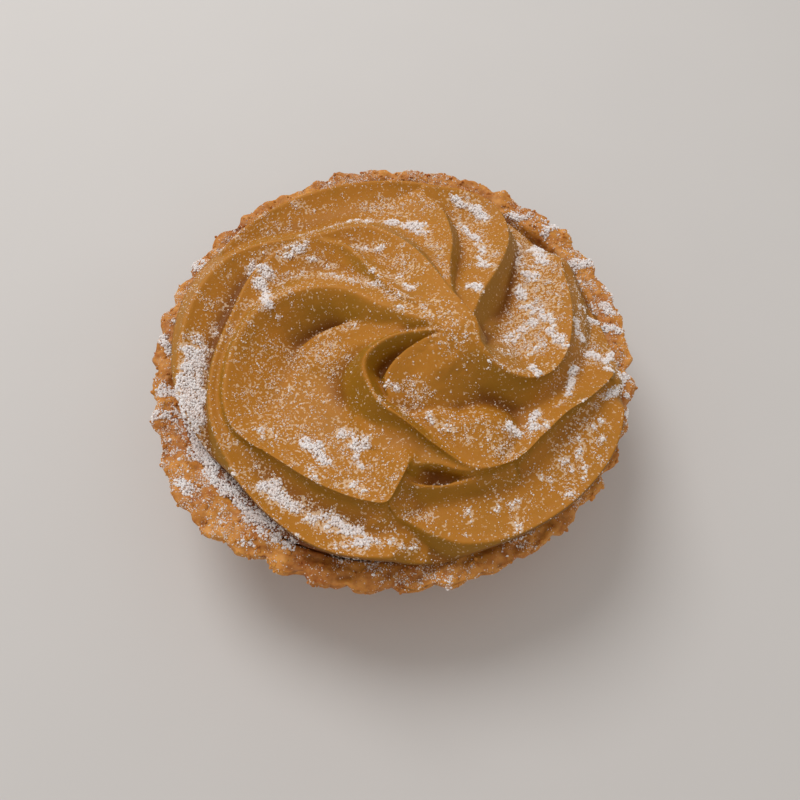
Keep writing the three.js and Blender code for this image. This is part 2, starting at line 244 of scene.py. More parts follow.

# Where the sugar fell thickest, listed one by one: (from x, y, to x, y, radius, amount), in plan.
SUGAR_DRIFTS = (
    # crust and gutter, from the back left to the near left
    (-37, 31.5, -31.5, 24.5, 1, 0.8), (-43, 21, -40, 21, 1.6, 1.05), (-31, 31.5, -27.5, 29, 1, 0.6),
    (-45, 12, -39.5, 11.5, 1.2, 0.6), (-45.5, 7.5, -45.5, 7.5, 1, 0.9), (-46.5, 2.5, -46, -0.5, 1.2, 1.15),
    (-46, -8.5, -43.5, -9.5, 1.4, 1.1), (-46.5, -15, -42, -15, 1.2, 1.1), (-46, -17, -44, -19.5, 1, 0.6),
    (-37.5, -18, -36.5, -21.5, 2.5, 1.3), (-36.5, -22.5, -33.5, -26, 2.2, 1.35),
    (-33.5, -27.5, -29, -30.5, 1.6, 1.35), (-28, -32.5, -24, -36.5, 1.4, 1.35),
    (-24, -36.5, -19, -40.5, 1.2, 1.1), (-19, -40.5, -17, -41.5, 1.4, 1.1),
    (-42, -21.5, -38.5, -22.5, 1.4, 0.95), (-39, -28.5, -38.5, -30.5, 1.4, 1.25),
    (-35.5, -33.5, -32.5, -34.5, 1.2, 0.7), (-31.5, -32, -30, -33.5, 1.2, 0.6),
    (-29, -36.5, -28, -37, 1.2, 0.9), (-26, -40, -25.5, -41, 1.6, 1), (-40, -19.5, -36, -28, 1.6, 0.6),
    # crust and gutter, near and near right
    (11.5, -43.5, 11.5, -43.5, 0.8, 0.6), (20.5, -41, 22, -41.5, 1, 0.9),
    (27.5, -38.5, 27.5, -38.5, 0.8, 0.8), (35.5, -33, 35.5, -33, 0.8, 1),
    # crust and gutter, from the right to the back
    (38.5, 13, 42, 14, 1.8, 0.75), (44.5, 11, 45.5, 9.5, 1.4, 1.35), (45, 6, 46, 4, 1.6, 1),
    (44.5, -9, 47, -7, 1.4, 1.35), (46, -14.5, 46, -14.5, 0.8, 1), (47, 9, 46.5, -9, 2.8, 0.7),
    (25.5, 36, 31, 35, 1.4, 1.1), (25.5, 39.5, 29, 37.5, 0.8, 0.5), (31, 35, 35, 33.5, 1, 0.9),
    (33.5, 29.5, 36, 31.5, 1.2, 1.2), (37, 29.5, 39, 27, 1.2, 0.5), (39.5, 21.5, 41.5, 22, 2, 1.35),
    (33, 39.5, 41, 30, 3, 0.8), (42.5, 27, 47, 12, 3, 0.8), (-12, 44.5, 1.5, 47.5, 0.8, 0.55),
    (1.5, 46, 19, 43, 1, 0.6),
    # the back edge and the folds before it
    (-37, 24.5, -32, 23, 1.2, 0.95), (-21.5, 32, -17.5, 32, 1, 0.8), (-27, 27, -20, 28, 2.4, 0.4),
    (-15, 33, -13, 32.5, 1, 0.55), (-6, 32, 1.5, 32.5, 2.2, 0.55), (-1.5, 28, 6, 25, 1.4, 1.15),
    (6, 25, 9.5, 16.5, 1.2, 0.75), (9.5, 16.5, 10.5, 7.5, 1, 0.5), (-1.5, 33.5, 4, 29.5, 1.8, 0.6),
    (3, 35.5, 8.5, 31, 1.6, 0.45), (-19, 22.5, -10, 28, 1, 0.75), (-10, 28, -1.5, 28, 1, 0.9),
    (-26.5, 17.5, -22.5, 18.5, 1.2, 0.7), (-7.5, 19, -2.5, 17, 1.2, 0.85), (1.5, 16, 1.5, 16, 1, 0.7),
    (-1.5, 14, 5.5, 9, 1.8, 0.5), (1.5, 7, 4, 4.5, 1, 0.95), (6, -1.5, 7.5, -3, 0.8, 1),
    (-43.5, 17.5, -34, 13.5, 2, 0.35), (-37.5, 7.5, -32.5, 7.5, 1.6, 0.35), (-35.5, 2, -35, 0.5, 1, 0.9),
    (-38.5, -1, -38.5, -4, 2, 0.95), (-38.5, -4, -38.5, -8.5, 2.4, 1.25), (-38.5, -8.5, -38, -13, 2.8, 1.4),
    (-38, -13, -37.5, -18, 2.7, 1.4), (7, -3.5, 12.5, -9, 4.3, 0.4),
    # the back right fold
    (13.5, 33.5, 18, 31, 1.6, 1.2), (18, 30.5, 19.5, 28, 1.4, 1.1), (14.5, 28, 17, 23, 1.2, 1),
    (17.5, 23, 18.5, 12.5, 1.4, 0.95), (15.5, 6.5, 16.5, 3.5, 1.4, 1.05), (20, 18.5, 20, 10.5, 1.4, 0.6),
    (26.5, 26, 26.5, 17, 2.2, 0.8), (15, 33.5, 18, 15, 3.2, 0.6),
    # the outer fold at the left, and the gutter beside it
    (-22, 17, -18.5, 19, 1.8, 1), (-28.5, 15, -25, 13, 1.6, 1.2), (-23.5, 11.5, -18.5, 13.5, 2, 0.6),
    (-17, 16, -11.5, 14.5, 1, 0.85), (-2.5, 6, 1.5, 1.5, 1.4, 0.75), (-4, 9.5, 1.5, 8, 1.2, 0.8),
    (2.5, 1, 9, -0.5, 0.8, 0.55), (-31, 1, -33.5, -5, 1, 0.5), (-22.5, -31, -20, -32, 1.8, 1.2),
    (-20.5, -32.5, -17, -34.5, 2, 1.25), (-27, -28.5, -25, -32, 1.4, 0.35),
    (-14, -36.5, -11.5, -37.5, 1.8, 1.15), (-11.5, -37.5, -8, -39, 1.8, 1.15),
    (-8, -39, -4.5, -41.5, 1.8, 1.1), (-9.5, -42.5, 4.5, -42, 1.2, 0.85),
    # the big fold at the left, and the crevice under it
    (-26, 10, -23.5, 4.5, 1.6, 1.15), (-18.5, 12.5, -8, 9, 1.8, 0.75), (-9, 8.5, -2.5, 6.5, 1.8, 0.85),
    (-28.5, 5, -19.5, 6.5, 1.4, 0.55), (1.5, -2, 4, -1.5, 1.2, 0.8), (-28.5, -1.5, -17, -13.5, 5.9, 0.3),
    (-16, -10.5, -16, -10.5, 0.8, 0.95), (-19.5, -11.5, -19.5, -11.5, 0.8, 1),
    (-23.5, -11, -23.5, -11, 1, 0.7), (-12, -14.5, -12, -14.5, 0.8, 0.9),
    (-27.5, -13, -25.5, -12, 1.6, 0.5), (-21.5, 2, -21.5, 2, 0.6, 1), (-23.5, -21.5, -21.5, -22, 1.2, 0.85),
    (-27.5, -21.5, -30, -23, 1.6, 0.6), (-18.5, -20.5, -16.5, -20, 1, 0.6),
    (-15.5, -23.5, -13, -26, 1.4, 1.2), (-13, -25, -11.5, -27.5, 1.4, 1.2),
    (-14, -29.5, -13, -30.5, 1.2, 0.9), (-17.5, -28, -16, -28, 1.2, 0.7), (-9, -22, -7, -22, 1.6, 0.9),
    (-7, -24, -5, -25.5, 1.8, 1.15), (-6, -27, -5.5, -29, 1, 1), (-7, -32, -5, -33.5, 1.6, 0.95),
    (-9.5, -32.5, -7, -33.5, 1.2, 0.7), (-24, -17, -1.5, -32, 4.9, 0.35), (-25, -26, -23, -28.5, 1.8, 0.55),
    (-1, -34, -1, -34, 1.2, 0.5), (0, -38.5, 0, -38.5, 1.4, 0.4), (-14, -0.5, -7, -0.5, 1.4, 0.7),
    (-15.5, -4.5, -11.5, -4.5, 1.8, 0.65), (-19.5, -4, -7.5, -9, 2.7, 0.4),
    # the hooked fold, and under it
    (-5, -17, -2.5, -19, 1.6, 0.7), (1.5, -19, 2, -20.5, 1, 0.8), (38, -4.5, 40.5, -4.5, 1.2, 1.25),
    (43.5, -2.5, 41.5, -8.5, 1.2, 1.1), (35, -8.5, 32.5, -15, 1.2, 1.2), (31.5, -16, 30.5, -17, 0.8, 0.9),
    (39.5, -14, 46.5, -10, 1.2, 1), (35, -17.5, 39, -16, 0.6, 0.8), (25, -22.5, 26, -19.5, 1.4, 1.1),
    (27, -22.5, 28, -21, 1, 0.9), (23, -23, 23.5, -27, 1.2, 0.45), (28.5, -24, 30, -26, 1, 0.5),
    (-1, -14, 1, -16, 1, 0.95), (2.5, -15.5, 5, -17, 1.6, 0.65), (4.5, -18.5, 5, -20.5, 1.2, 0.6),
    (7, -20.5, 10.5, -23.5, 1.2, 0.95), (13, -23, 14, -26, 1, 0.75), (17, -25, 17, -25, 0.8, 0.8),
    (20, -23.5, 21.5, -23, 1.2, 1.05), (18, -27.5, 20, -26.5, 1.6, 0.7), (2.5, -18, 19, -25.5, 3.5, 0.3),
    # the fold that comes over the tip to the right
    (31, 25, 30.5, 17.5, 2, 1.2), (27.5, 14, 28.5, 12.5, 2, 1.15), (26, 10, 26.5, 7.5, 1.8, 1),
    (26.5, 6, 27, 4, 2, 0.95), (29.5, 10, 32, 8.5, 1.2, 0.7), (32, 6.5, 32.5, 4, 1.2, 0.9),
    (29, 2.5, 29.5, 0.5, 1.8, 1.05), (22.5, -3, 26.5, 0.5, 1.5, 1), (30, -2, 32.5, -5.5, 1.8, 1.05),
    (28, -5.5, 25, -7, 1.2, 0.9), (22, -6.5, 23, -8, 1, 0.7), (16.5, -12.5, 18.5, -13.5, 1, 0.8),
    (20, -8.5, 22.5, -10.5, 1.4, 0.6), (21, -14, 25, -13, 0.8, 0.7), (25.5, -11.5, 26, -13, 1, 1.1),
    (28.5, -11, 29.5, -11.5, 1, 0.7), (27.5, -2, 29, -3, 1.8, 0.65), (38.5, 8, 42.5, 6, 1.2, 1.3),
    (36.5, 2.5, 37, -0.5, 1.2, 1.15), (28.5, 31, 29.5, 14, 5, 0.65), (29.5, 10, 26, -3, 5.4, 0.7),
    (39, 4, 38.5, -6, 3, 0.5),
    # the near right edge
    (33.5, -23, 34.5, -25, 1.4, 1), (30, -27, 31.5, -26.5, 1.2, 0.9), (32, -29, 32, -29, 0.8, 1.1),
    (27.5, -30, 28.5, -30.5, 1.2, 0.9), (34.5, -26.5, 34.5, -30.5, 0.8, 0.9),
    (31, -33, 32.5, -32.5, 0.8, 1), (21.5, -34.5, 22, -35.5, 1.2, 0.9), (18.5, -35.5, 18.5, -35.5, 1, 1.05),
    (13.5, -36.5, 14.5, -37.5, 1.2, 0.9), (22.5, -38.5, 23, -40, 1.4, 0.95), (13, -40, 13, -40, 0.8, 0.8),
    (36, -20.5, 39, -19, 1, 1), (38.5, -22.5, 38.5, -22.5, 1, 0.8), (38.5, -27, 38.5, -27, 0.8, 0.7),
    (18.5, -33.5, 18.5, -33.5, 1, 0.5), (19.5, -32.5, 30.5, -28.5, 2, 0.2), (2.5, -37, 6, -37.5, 1.2, 0.5),
    (7, -39, 7, -39, 1, 0.6), (36.5, -20.5, 31, -29.5, 4.2, 0.35),
)


# ---- numbers ---------------------------------------------------------------------------------
def linear(code):
    """A colour given as sRGB hex, in linear light with full alpha."""
    parts = [int(code[i:i + 2], 16) / 255 for i in (1, 3, 5)]
    return tuple(v / 12.92 if v <= 0.04045 else ((v + 0.055) / 1.055) ** 2.4 for v in parts) + (1.0,)


def smoothstep(value, low, high):
    """0 up to low and 1 from high, with an eased rise between."""
    t = np.clip((value - low) / (high - low), 0, 1)
    return t * t * (3 - 2 * t)


def mix(a, b, t):
    """a where t is 0 and b where it is 1."""
    return a + (b - a) * t


def blurred(field, reach):
    """The field averaged over a square `reach` cells to each side, twice over."""
    for _ in range(2):
        for axis in (0, 1):
            padded = np.pad(field, [(reach + 1, reach) if k == axis else (0, 0) for k in (0, 1)], "edge")
            total = np.cumsum(padded, axis)
            width = 2 * reach + 1
            field = (np.take(total, range(width, total.shape[axis]), axis)
                     - np.take(total, range(0, total.shape[axis] - width), axis)) / width
    return field


def spline(p0, p1, p2, p3, t):
    """A smooth curve from p1 to p2, which p0 and p3 lead into and out of."""
    return 0.5 * (2 * p1 + (p2 - p0) * t + (2 * p0 - 5 * p1 + 4 * p2 - p3) * t ** 2
                  + (3 * p1 - p0 - 3 * p2 + p3) * t ** 3)


def lattice(ix, iy, iz, seed):
    """A repeatable random number from 0 to 1 for each point of a whole-number grid."""
    h = (ix * 374761393 + iy * 668265263 + iz * 2147483647 + seed * 1274126177) & 0xFFFFFFFF
    h = ((h ^ (h >> 13)) * 1274126177) & 0xFFFFFFFF
    return ((h ^ (h >> 16)) & 0xFFFFFF) / 0xFFFFFF


def noise(points, size, seed, octaves=3):
    """Smooth uneven values, about 0 to 1, whose lumps are `size` millimetres across."""
    total = np.zeros(len(points))
    weight, reach = 1.0, 0.0
    for octave in range(octaves):
        q = points / size * 2 ** octave
        base = np.floor(q).astype(np.int64)
        f = q - base
        f = f * f * (3 - 2 * f)
        value = np.zeros(len(points))
        for corner in range(8):
            c = [(corner >> k) & 1 for k in range(3)]
            w = np.prod([f[:, k] if c[k] else 1 - f[:, k] for k in range(3)], axis=0)
            value += w * lattice(*(base[:, k] + c[k] for k in range(3)), seed + octave)
        total += weight * value
        reach += weight
        weight *= 0.5
    return total / reach


# ---- the swirl -------------------------------------------------------------------------------
def edge_radius(angle):
    """Radius of the cream's edge in this direction."""
    count = len(CREAM_EDGE)
    place = np.mod(angle, 360) / (360 / count)
    i = np.floor(place).astype(int)
    return spline(*(CREAM_EDGE[(i + k) % count] for k in (-1, 0, 1, 2)), place - i)


def swirl_point(angle, share):
    """The plan point this share of the way from the tip to the cream's edge."""
    r, turn = edge_radius(angle), np.radians(angle)
    return mix(TIP[0], r * np.cos(turn), share), mix(TIP[1], r * np.sin(turn), share)


def dome_height(share):
    """Height of the cream over the rim before its folds; 0.05 rounds the dome's top."""
    far = np.clip(np.hypot(share, 0.05), 0, 1)
    return EDGE_HEIGHT + (TIP_HEIGHT - EDGE_HEIGHT) * (1 - far) ** DOME_POWER


def ridge_chain(ridge, steps=120):
    """The ridge's crest as points, with its lift and the fall of its two sides at each."""
    path = np.array(ridge["path"], float)
    stations = np.vstack([2 * path[0] - path[1], path, 2 * path[-1] - path[-2]])
    along = np.linspace(0, 1, steps + 1)
    place = along * (len(path) - 1)
    i = np.minimum(place.astype(int), len(path) - 2)
    angle, share = spline(*(stations[i + k] for k in range(4)), (place - i)[:, None]).T
    x, y = swirl_point(angle, share)
    g = smoothstep(along, *ridge["turn"])
    sides = [mix(ridge[side][k], ridge[side][k + 2], g) for side in ("inner", "outer") for k in (0, 1)]
    beyond, roll = mix(*ridge.get("beyond", (0.6, 0.25)), g), mix(*ridge.get("roll", (0, 0)), g)
    return x, y, mix(*ridge["lift"], along), sides, beyond, roll


def side_drop(distance, drop, reach, beyond, roll):
    """How far the side has fallen at this distance: steep at first and easing into the groove, or the
    other way about where the crest is rolled over."""
    d = np.hypot(distance, CREST_ROUNDING) - CREST_ROUNDING
    # sides steeper than 0.4 bulge more, up to a slope of 1
    power = 1.55 + 0.35 * np.clip((drop / reach - 0.4) / 0.6, 0, 1)
    share = np.minimum(d / reach, 1)
    eased = drop * mix(1 - (1 - share) ** power, share ** 1.5, roll)
    return eased + beyond * np.maximum(d - reach, 0)


def swirl_relief(x, y):
    """Height of the folds over the dome; the distance of each point from its own crest, less than 0
    on the outer side; and how far the point is drawn in under that crest, in x and y."""
    relief = np.full(x.shape, -DEEPEST)
    top = np.full(x.shape, -1e9)
    across, drawn_x, drawn_y = np.zeros(x.shape), np.zeros(x.shape), np.zeros(x.shape)
    for ridge in RIDGES:
        cx, cy, lift, sides, beyond, roll = ridge_chain(ridge)
        inner_drop, inner_reach, outer_drop, outer_reach = sides
        best = np.full(x.shape, -1e9)
        best_across, away_x, away_y = np.zeros(x.shape), np.zeros(x.shape), np.zeros(x.shape)
        tuck, tuck_from, tuck_full = ridge.get("tuck", (0, 0, 1))
        tucked, best_tuck = tuck * smoothstep(np.linspace(0, 1, len(cx)), tuck_from, tuck_full), 0 * best
        for i in range(len(cx) - 1):
            dx, dy = cx[i + 1] - cx[i], cy[i + 1] - cy[i]
            length = math.hypot(dx, dy) + 1e-6
            t = np.clip(((x - cx[i]) * dx + (y - cy[i]) * dy) / length ** 2, 0, 1)
            ex, ey = x - cx[i] - t * dx, y - cy[i] - t * dy
            distance = np.maximum(np.hypot(ex, ey), 1e-6)
            side = (dx * ey - dy * ex) / (length * distance)
            inside = 0.5 + 0.5 * np.clip(side, -1, 1)
            drop = mix(outer_drop[i], inner_drop[i], inside)
            reach = mix(outer_reach[i], inner_reach[i], inside)
            if "cap" in ridge and i == len(cx) - 2:
                ahead = np.sqrt(np.clip((ex * dx + ey * dy) / (length * distance), 0, 1))
                drop, reach = mix(drop, ridge["cap"][0], ahead), mix(reach, ridge["cap"][1], ahead)
            fall = side_drop(distance, drop, reach, beyond[i], roll[i])
            height = mix(lift[i], lift[i + 1], t) - fall
            higher = height > best
            best = np.where(higher, height, best)
            best_across = np.where(higher, distance * np.sign(side), best_across)
            best_tuck = np.where(higher, mix(tucked[i], tucked[i + 1], t), best_tuck)
            away_x = np.where(higher, ex / distance, away_x)
            away_y = np.where(higher, ey / distance, away_y)
        outward = np.maximum(-best_across, 0)
        near_crest = smoothstep(outward, 0, TUCK_FULL) * (1 - smoothstep(outward, TUCK_FULL, TUCK_END))
        drawn = best_tuck * near_crest
        h = np.clip(0.5 + 0.5 * (best - relief) / CREASE_ROUNDING, 0, 1)
        relief = mix(relief, best, h) + CREASE_ROUNDING * h * (1 - h)
        drawn_x, drawn_y = mix(drawn_x, drawn * away_x, h), mix(drawn_y, drawn * away_y, h)
        higher = best > top
        top = np.where(higher, best, top)
        across = np.where(higher, best_across, across)
    return relief, across, drawn_x, drawn_y


# ---- meshes ----------------------------------------------------------------------------------
def mesh_object(name, points, faces, smooth=True):
    """A mesh object at the origin, from points in millimetres."""
    mesh = bpy.data.meshes.new(name)
    points = np.asarray(points, float)
    sizes = np.array([len(face) for face in faces])
    mesh.vertices.add(len(points))
    mesh.vertices.foreach_set("co", (points * MM).ravel())
    mesh.loops.add(int(sizes.sum()))
    mesh.loops.foreach_set("vertex_index", np.concatenate([np.asarray(face) for face in faces]))
    mesh.polygons.add(len(faces))
    mesh.polygons.foreach_set("loop_start", np.concatenate([[0], np.cumsum(sizes)[:-1]]))
    mesh.polygons.foreach_set("use_smooth", np.full(len(faces), smooth))
    mesh.update(calc_edges=True)
    mesh.validate()
    piece = bpy.data.objects.new(name, mesh)
    bpy.context.collection.objects.link(piece)
    return piece


def positions(mesh):
    """Vertex positions in millimetres, and vertex normals."""
    points = np.empty(len(mesh.vertices) * 3)
    mesh.vertices.foreach_get("co", points)
    normals = np.empty(len(mesh.vertices) * 3)
    mesh.vertices.foreach_get("normal", normals)
    return points.reshape(-1, 3) / MM, normals.reshape(-1, 3)


def set_values(mesh, name, values):
    """Stores a number, or a row of three, at every vertex."""
    kind, key = ("FLOAT", "value") if np.ndim(values) == 1 else ("FLOAT_VECTOR", "vector")
    layer = mesh.attributes.get(name) or mesh.attributes.new(name, kind, "POINT")
    layer.data.foreach_set(key, np.asarray(values, float).ravel())


def turned(profile, count):
    """Points and faces of a closed turned body: each profile row is (radius, height)."""
    angles = np.arange(count) * 2 * math.pi / count
    points = [(r * math.cos(a), r * math.sin(a), z) for r, z in profile for a in angles]
    faces = []
    for row in range(len(profile) - 1):
        for i in range(count):
            n = (i + 1) % count
            faces.append((row * count + i, row * count + n, (row + 1) * count + n, (row + 1) * count + i))
    low, high = len(points), len(points) + 1
    points += [(0, 0, profile[0][1]), (0, 0, profile[-1][1])]
    last = (len(profile) - 1) * count
    for i in range(count):
        n = (i + 1) % count
        faces.append((low, n, i))
        faces.append((high, last + i, last + n))
    return points, faces


def resampled(rows, spacing):
    """The same profile, with rows between a and b no further apart than spacing(a, b)."""
    rows = np.array(rows, float)
    result = [rows[0]]
    for a, b in zip(rows[:-1], rows[1:]):
        steps = max(1, math.ceil(math.hypot(b[0] - a[0], b[1] - a[1]) / spacing(a, b)))
        result += [mix(a, b, k / steps) for k in range(1, steps + 1)]
    return np.array(result)


# ---- node trees ------------------------------------------------------------------------------
def add(tree, kind, inputs=None, **settings):
    """Adds one node. settings are its properties; inputs sets or links its sockets by name or place.

    By place, a Map Range has its value at 0, its range at 1 and 2 and the new one at 3 and 4; a
    colour Mix has its factor at 0 and its colours at 6 and 7; a Random Value its range at 0 and 1,
    or for a single number at 2 and 3.
    """
    node = tree.nodes.new(kind)
    for key, value in settings.items():
        setattr(node, key, value)
    for key, value in (inputs or {}).items():
        if isinstance(value, bpy.types.NodeSocket):
            tree.links.new(value, node.inputs[key])
        else:
            node.inputs[key].default_value = value
    return node


def new_tree(name, sockets):
    """A geometry tree with named inputs: (name, socket type, default)."""
    tree = bpy.data.node_groups.new(name, "GeometryNodeTree")
    tree.interface.new_socket("Geometry", in_out="INPUT", socket_type="NodeSocketGeometry")
    for label, kind, default in sockets:
        socket = tree.interface.new_socket(label, in_out="INPUT", socket_type=kind)
        if default is not None:
            socket.default_value = default
    tree.interface.new_socket("Geometry", in_out="OUTPUT", socket_type="NodeSocketGeometry")
    return tree, add(tree, "NodeGroupInput").outputs, add(tree, "NodeGroupOutput").inputs


def apply_tree(piece, tree, values):
    """Runs the tree on the piece with these inputs and leaves the result as its plain mesh."""
    modifier = piece.modifiers.new(tree.name, "NODES")
    modifier.node_group = tree
    for item in tree.interface.items_tree:
        if item.item_type == "SOCKET" and item.in_out == "INPUT" and item.name in values:
            modifier[item.identifier] = values[item.name]
    depsgraph = bpy.context.evaluated_depsgraph_get()
    result = bpy.data.meshes.new_from_object(piece.evaluated_get(depsgraph), depsgraph=depsgraph)
    piece.modifiers.remove(modifier)
    before, piece.data = piece.data, result
    result.name = piece.name
    bpy.data.meshes.remove(before)


def new_material(name):
    """A new material, its nodes, and the shader among them."""
    material = bpy.data.materials.new(name)
    material.use_nodes = True
    return material, material.node_tree, material.node_tree.nodes["Principled BSDF"]


def per_mm(size):
    """Texture scale whose features are about `size` millimetres across on metre coordinates."""
    return 1 / (size * MM)


def dressed(piece, node):
    """Hands the finished piece to the frame."""
    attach(piece, "root")
    if node:
        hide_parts(node)


# ---- settings --------------------------------------------------------------------------------
def colour(name, description, code):
    """A colour that the user may change, from its sRGB hex value."""
    return FloatVectorProperty(
        name=name, description=description, default=linear(code), size=4, subtype="COLOR", min=0, max=1,
    )


def length(name, description, millimetres):
    """A length that the user may change, from its default in millimetres."""
    return FloatProperty(
        name=name, description=description, default=millimetres * MM, unit="LENGTH", min=0, precision=5,
    )


class TartSizes(bpy.types.PropertyGroup):
    """Sizes of the finish, on top of the frame's own sizes."""

    flutes: IntProperty(name="Flutes", description="Scallops round the crust", default=38, min=8)
    flute_depth: length("Flute depth", "How deep the scallops are", 1.2)
    knob_height: length("Knobs", "Rise and fall of the baked rim", 0.85)
    crumb_height: length("Crumb", "Rise and fall of the crumb on the crust", 0.2)
    grain: length("Fine sugar", "Radius of a fine sugar grain", 0.16)
    coarse: length("Coarse sugar", "Radius of a coarse sugar grain", 0.23)
    flake: length("Sugar flake", "Radius of a small sugar lump", 0.29)
    lump: length("Sugar lump", "Radius of a caked lump of sugar", 0.36)
    crumb: length("Pastry crumb", "Radius of a loose pastry crumb", 0.5)
    fine_grains: IntProperty(name="Fine grains", description="How many fine grains", default=32000, min=0)
    coarse_grains: IntProperty(name="Coarse grains", description="How many coarse", default=24000, min=0)
    heaped_grains: IntProperty(name="Heaped grains", description="How many in heaps", default=9600, min=0)
    banked_grains: IntProperty(name="Banked grains", description="How many in banks", default=5000, min=0)
    lumps: IntProperty(name="Lumps", description="How many caked lumps", default=800, min=0)
    seed: IntProperty(name="Seed", description="Where the sugar and crumbs fall", default=7, min=0)


class TartColours(bpy.types.PropertyGroup):
    """Colours as the eye sees them in soft light."""

    # painted light and shade: the lit cream goes on level faces, the shaded cream on steep ones
    cream_lit: colour("Cream", "Piped cream on its open faces", "#B37420")
    cream_shaded: colour("Cream, bare", "Piped cream where no sugar has settled", "#98680F")
    # a darker cream, painted into the low folds and down the cream's side as shade
    cream_fold_shade: colour("Cream, in folds", "Piped cream deep between two folds", "#6B3609")
    cream_veil: colour("Sugar film", "The thinnest sugar on the cream", "#E4C6A4")
    crust_pale: colour("Crust, pale", "Short crust where it is lightly baked", "#D9943C")
    crust_brown: colour("Crust, browned", "Short crust where it is browned", "#9F5616")
    crust_dark_and_shade: colour("Crust, edges", "Short crust in its darkest crevices", "#74380F")
    # the darkest crust: painted into the crust's hollows as shade, and mixed at random into the filling
    filling: colour("Filling", "Baked almond filling", "#9A5A22")
    sugar: colour("Icing sugar", "Snow sugar", "#F6F0EE")
    sugar_damp: colour("Damp sugar", "Single grains that have drawn up moisture", "#DFB583")
    floor: colour("Floor", "Matte board under the tart", "#CFCBC8")


# ---- materials -------------------------------------------------------------------------------
def chestnut_cream(colours):
    """Chestnut cream, piped through a wide nozzle: soft, close and a little translucent. The eye
    gets a satin paste with drag lines along each fold, fine grain, and a paler sugared film."""
    material, tree, shader = new_material("piped_chestnut_cream")
    place = add(tree, "ShaderNodeTexCoord").outputs["Object"]
    veil = add(tree, "ShaderNodeAttribute", attribute_name="veil").outputs["Fac"]
    lit_facing = add(tree, "ShaderNodeAttribute", attribute_name="open").outputs["Fac"]
    deep = add(tree, "ShaderNodeAttribute", attribute_name="deep").outputs["Fac"]
    flow = add(tree, "ShaderNodeAttribute", attribute_name="flow").outputs["Vector"]
    cloud = add(tree, "ShaderNodeTexNoise", {"Vector": place, "Scale": per_mm(7), "Detail": 3.0})
    speck = add(tree, "ShaderNodeTexNoise", {"Vector": place, "Scale": per_mm(0.55), "Detail": 3.0})
    drag = add(tree, "ShaderNodeTexNoise", {"Vector": flow, "Scale": 1.0, "Detail": 3.0})
    grain = add(tree, "ShaderNodeTexNoise", {"Vector": place, "Scale": per_mm(0.28), "Detail": 2.0})
    drift = add(tree, "ShaderNodeMapRange", {0: cloud.outputs["Fac"], 1: 0.35, 2: 0.65, 3: -0.2, 4: 0.2})
    # painted light and shade: level faces lighter, steep faces darker, with a random cloud of tone over it
    tone = add(tree, "ShaderNodeMath", {0: lit_facing, 1: drift.outputs[0]}, operation="ADD", use_clamp=True)
    base = add(tree, "ShaderNodeMix", {0: tone.outputs[0], 6: colours.cream_shaded, 7: colours.cream_lit},
               data_type="RGBA")
    # the dust lies as specks too small to be grains of their own: more specks, not a paler cream
    start = add(tree, "ShaderNodeMapRange", {0: veil, 1: 0.0, 2: 1.0, 3: 0.63, 4: 0.38})
    full = add(tree, "ShaderNodeMath", {0: start.outputs[0], 1: 0.08}, operation="ADD")
    dust = add(tree, "ShaderNodeMapRange",
               {0: speck.outputs["Fac"], 1: start.outputs[0], 2: full.outputs[0], 3: 0.0, 4: 0.7})
    # painted shade: low folds and the cream's side are mixed towards the fold cream
    shaded = add(tree, "ShaderNodeMix", {0: deep, 6: base.outputs[2], 7: colours.cream_fold_shade},
                 data_type="RGBA")
    face = add(tree, "ShaderNodeMix", {0: dust.outputs[0], 6: shaded.outputs[2], 7: colours.cream_veil},
               data_type="RGBA")
    streaks = add(tree, "ShaderNodeBump",
                  {"Strength": 0.35, "Distance": 0.08 * MM, "Height": drag.outputs["Fac"]})
    fine = add(tree, "ShaderNodeBump", {
        "Strength": 0.5, "Distance": 0.05 * MM, "Height": grain.outputs["Fac"],
        "Normal": streaks.outputs["Normal"],
    })
    rough = add(tree, "ShaderNodeMapRange", {0: veil, 1: 0.0, 2: 1.0, 3: 0.5, 4: 0.75})
    tree.links.new(face.outputs[2], shader.inputs["Base Color"])
    tree.links.new(rough.outputs[0], shader.inputs["Roughness"])
    tree.links.new(fine.outputs["Normal"], shader.inputs["Normal"])
    shader.inputs["IOR"].default_value = 1.45
    shader.inputs["Specular IOR Level"].default_value = 0.25
    shader.inputs["Subsurface Weight"].default_value = 0.12
    shader.inputs["Subsurface Radius"].default_value = (1.0, 0.5, 0.18)
    shader.inputs["Subsurface Scale"].default_value = 1.6 * MM
    return material


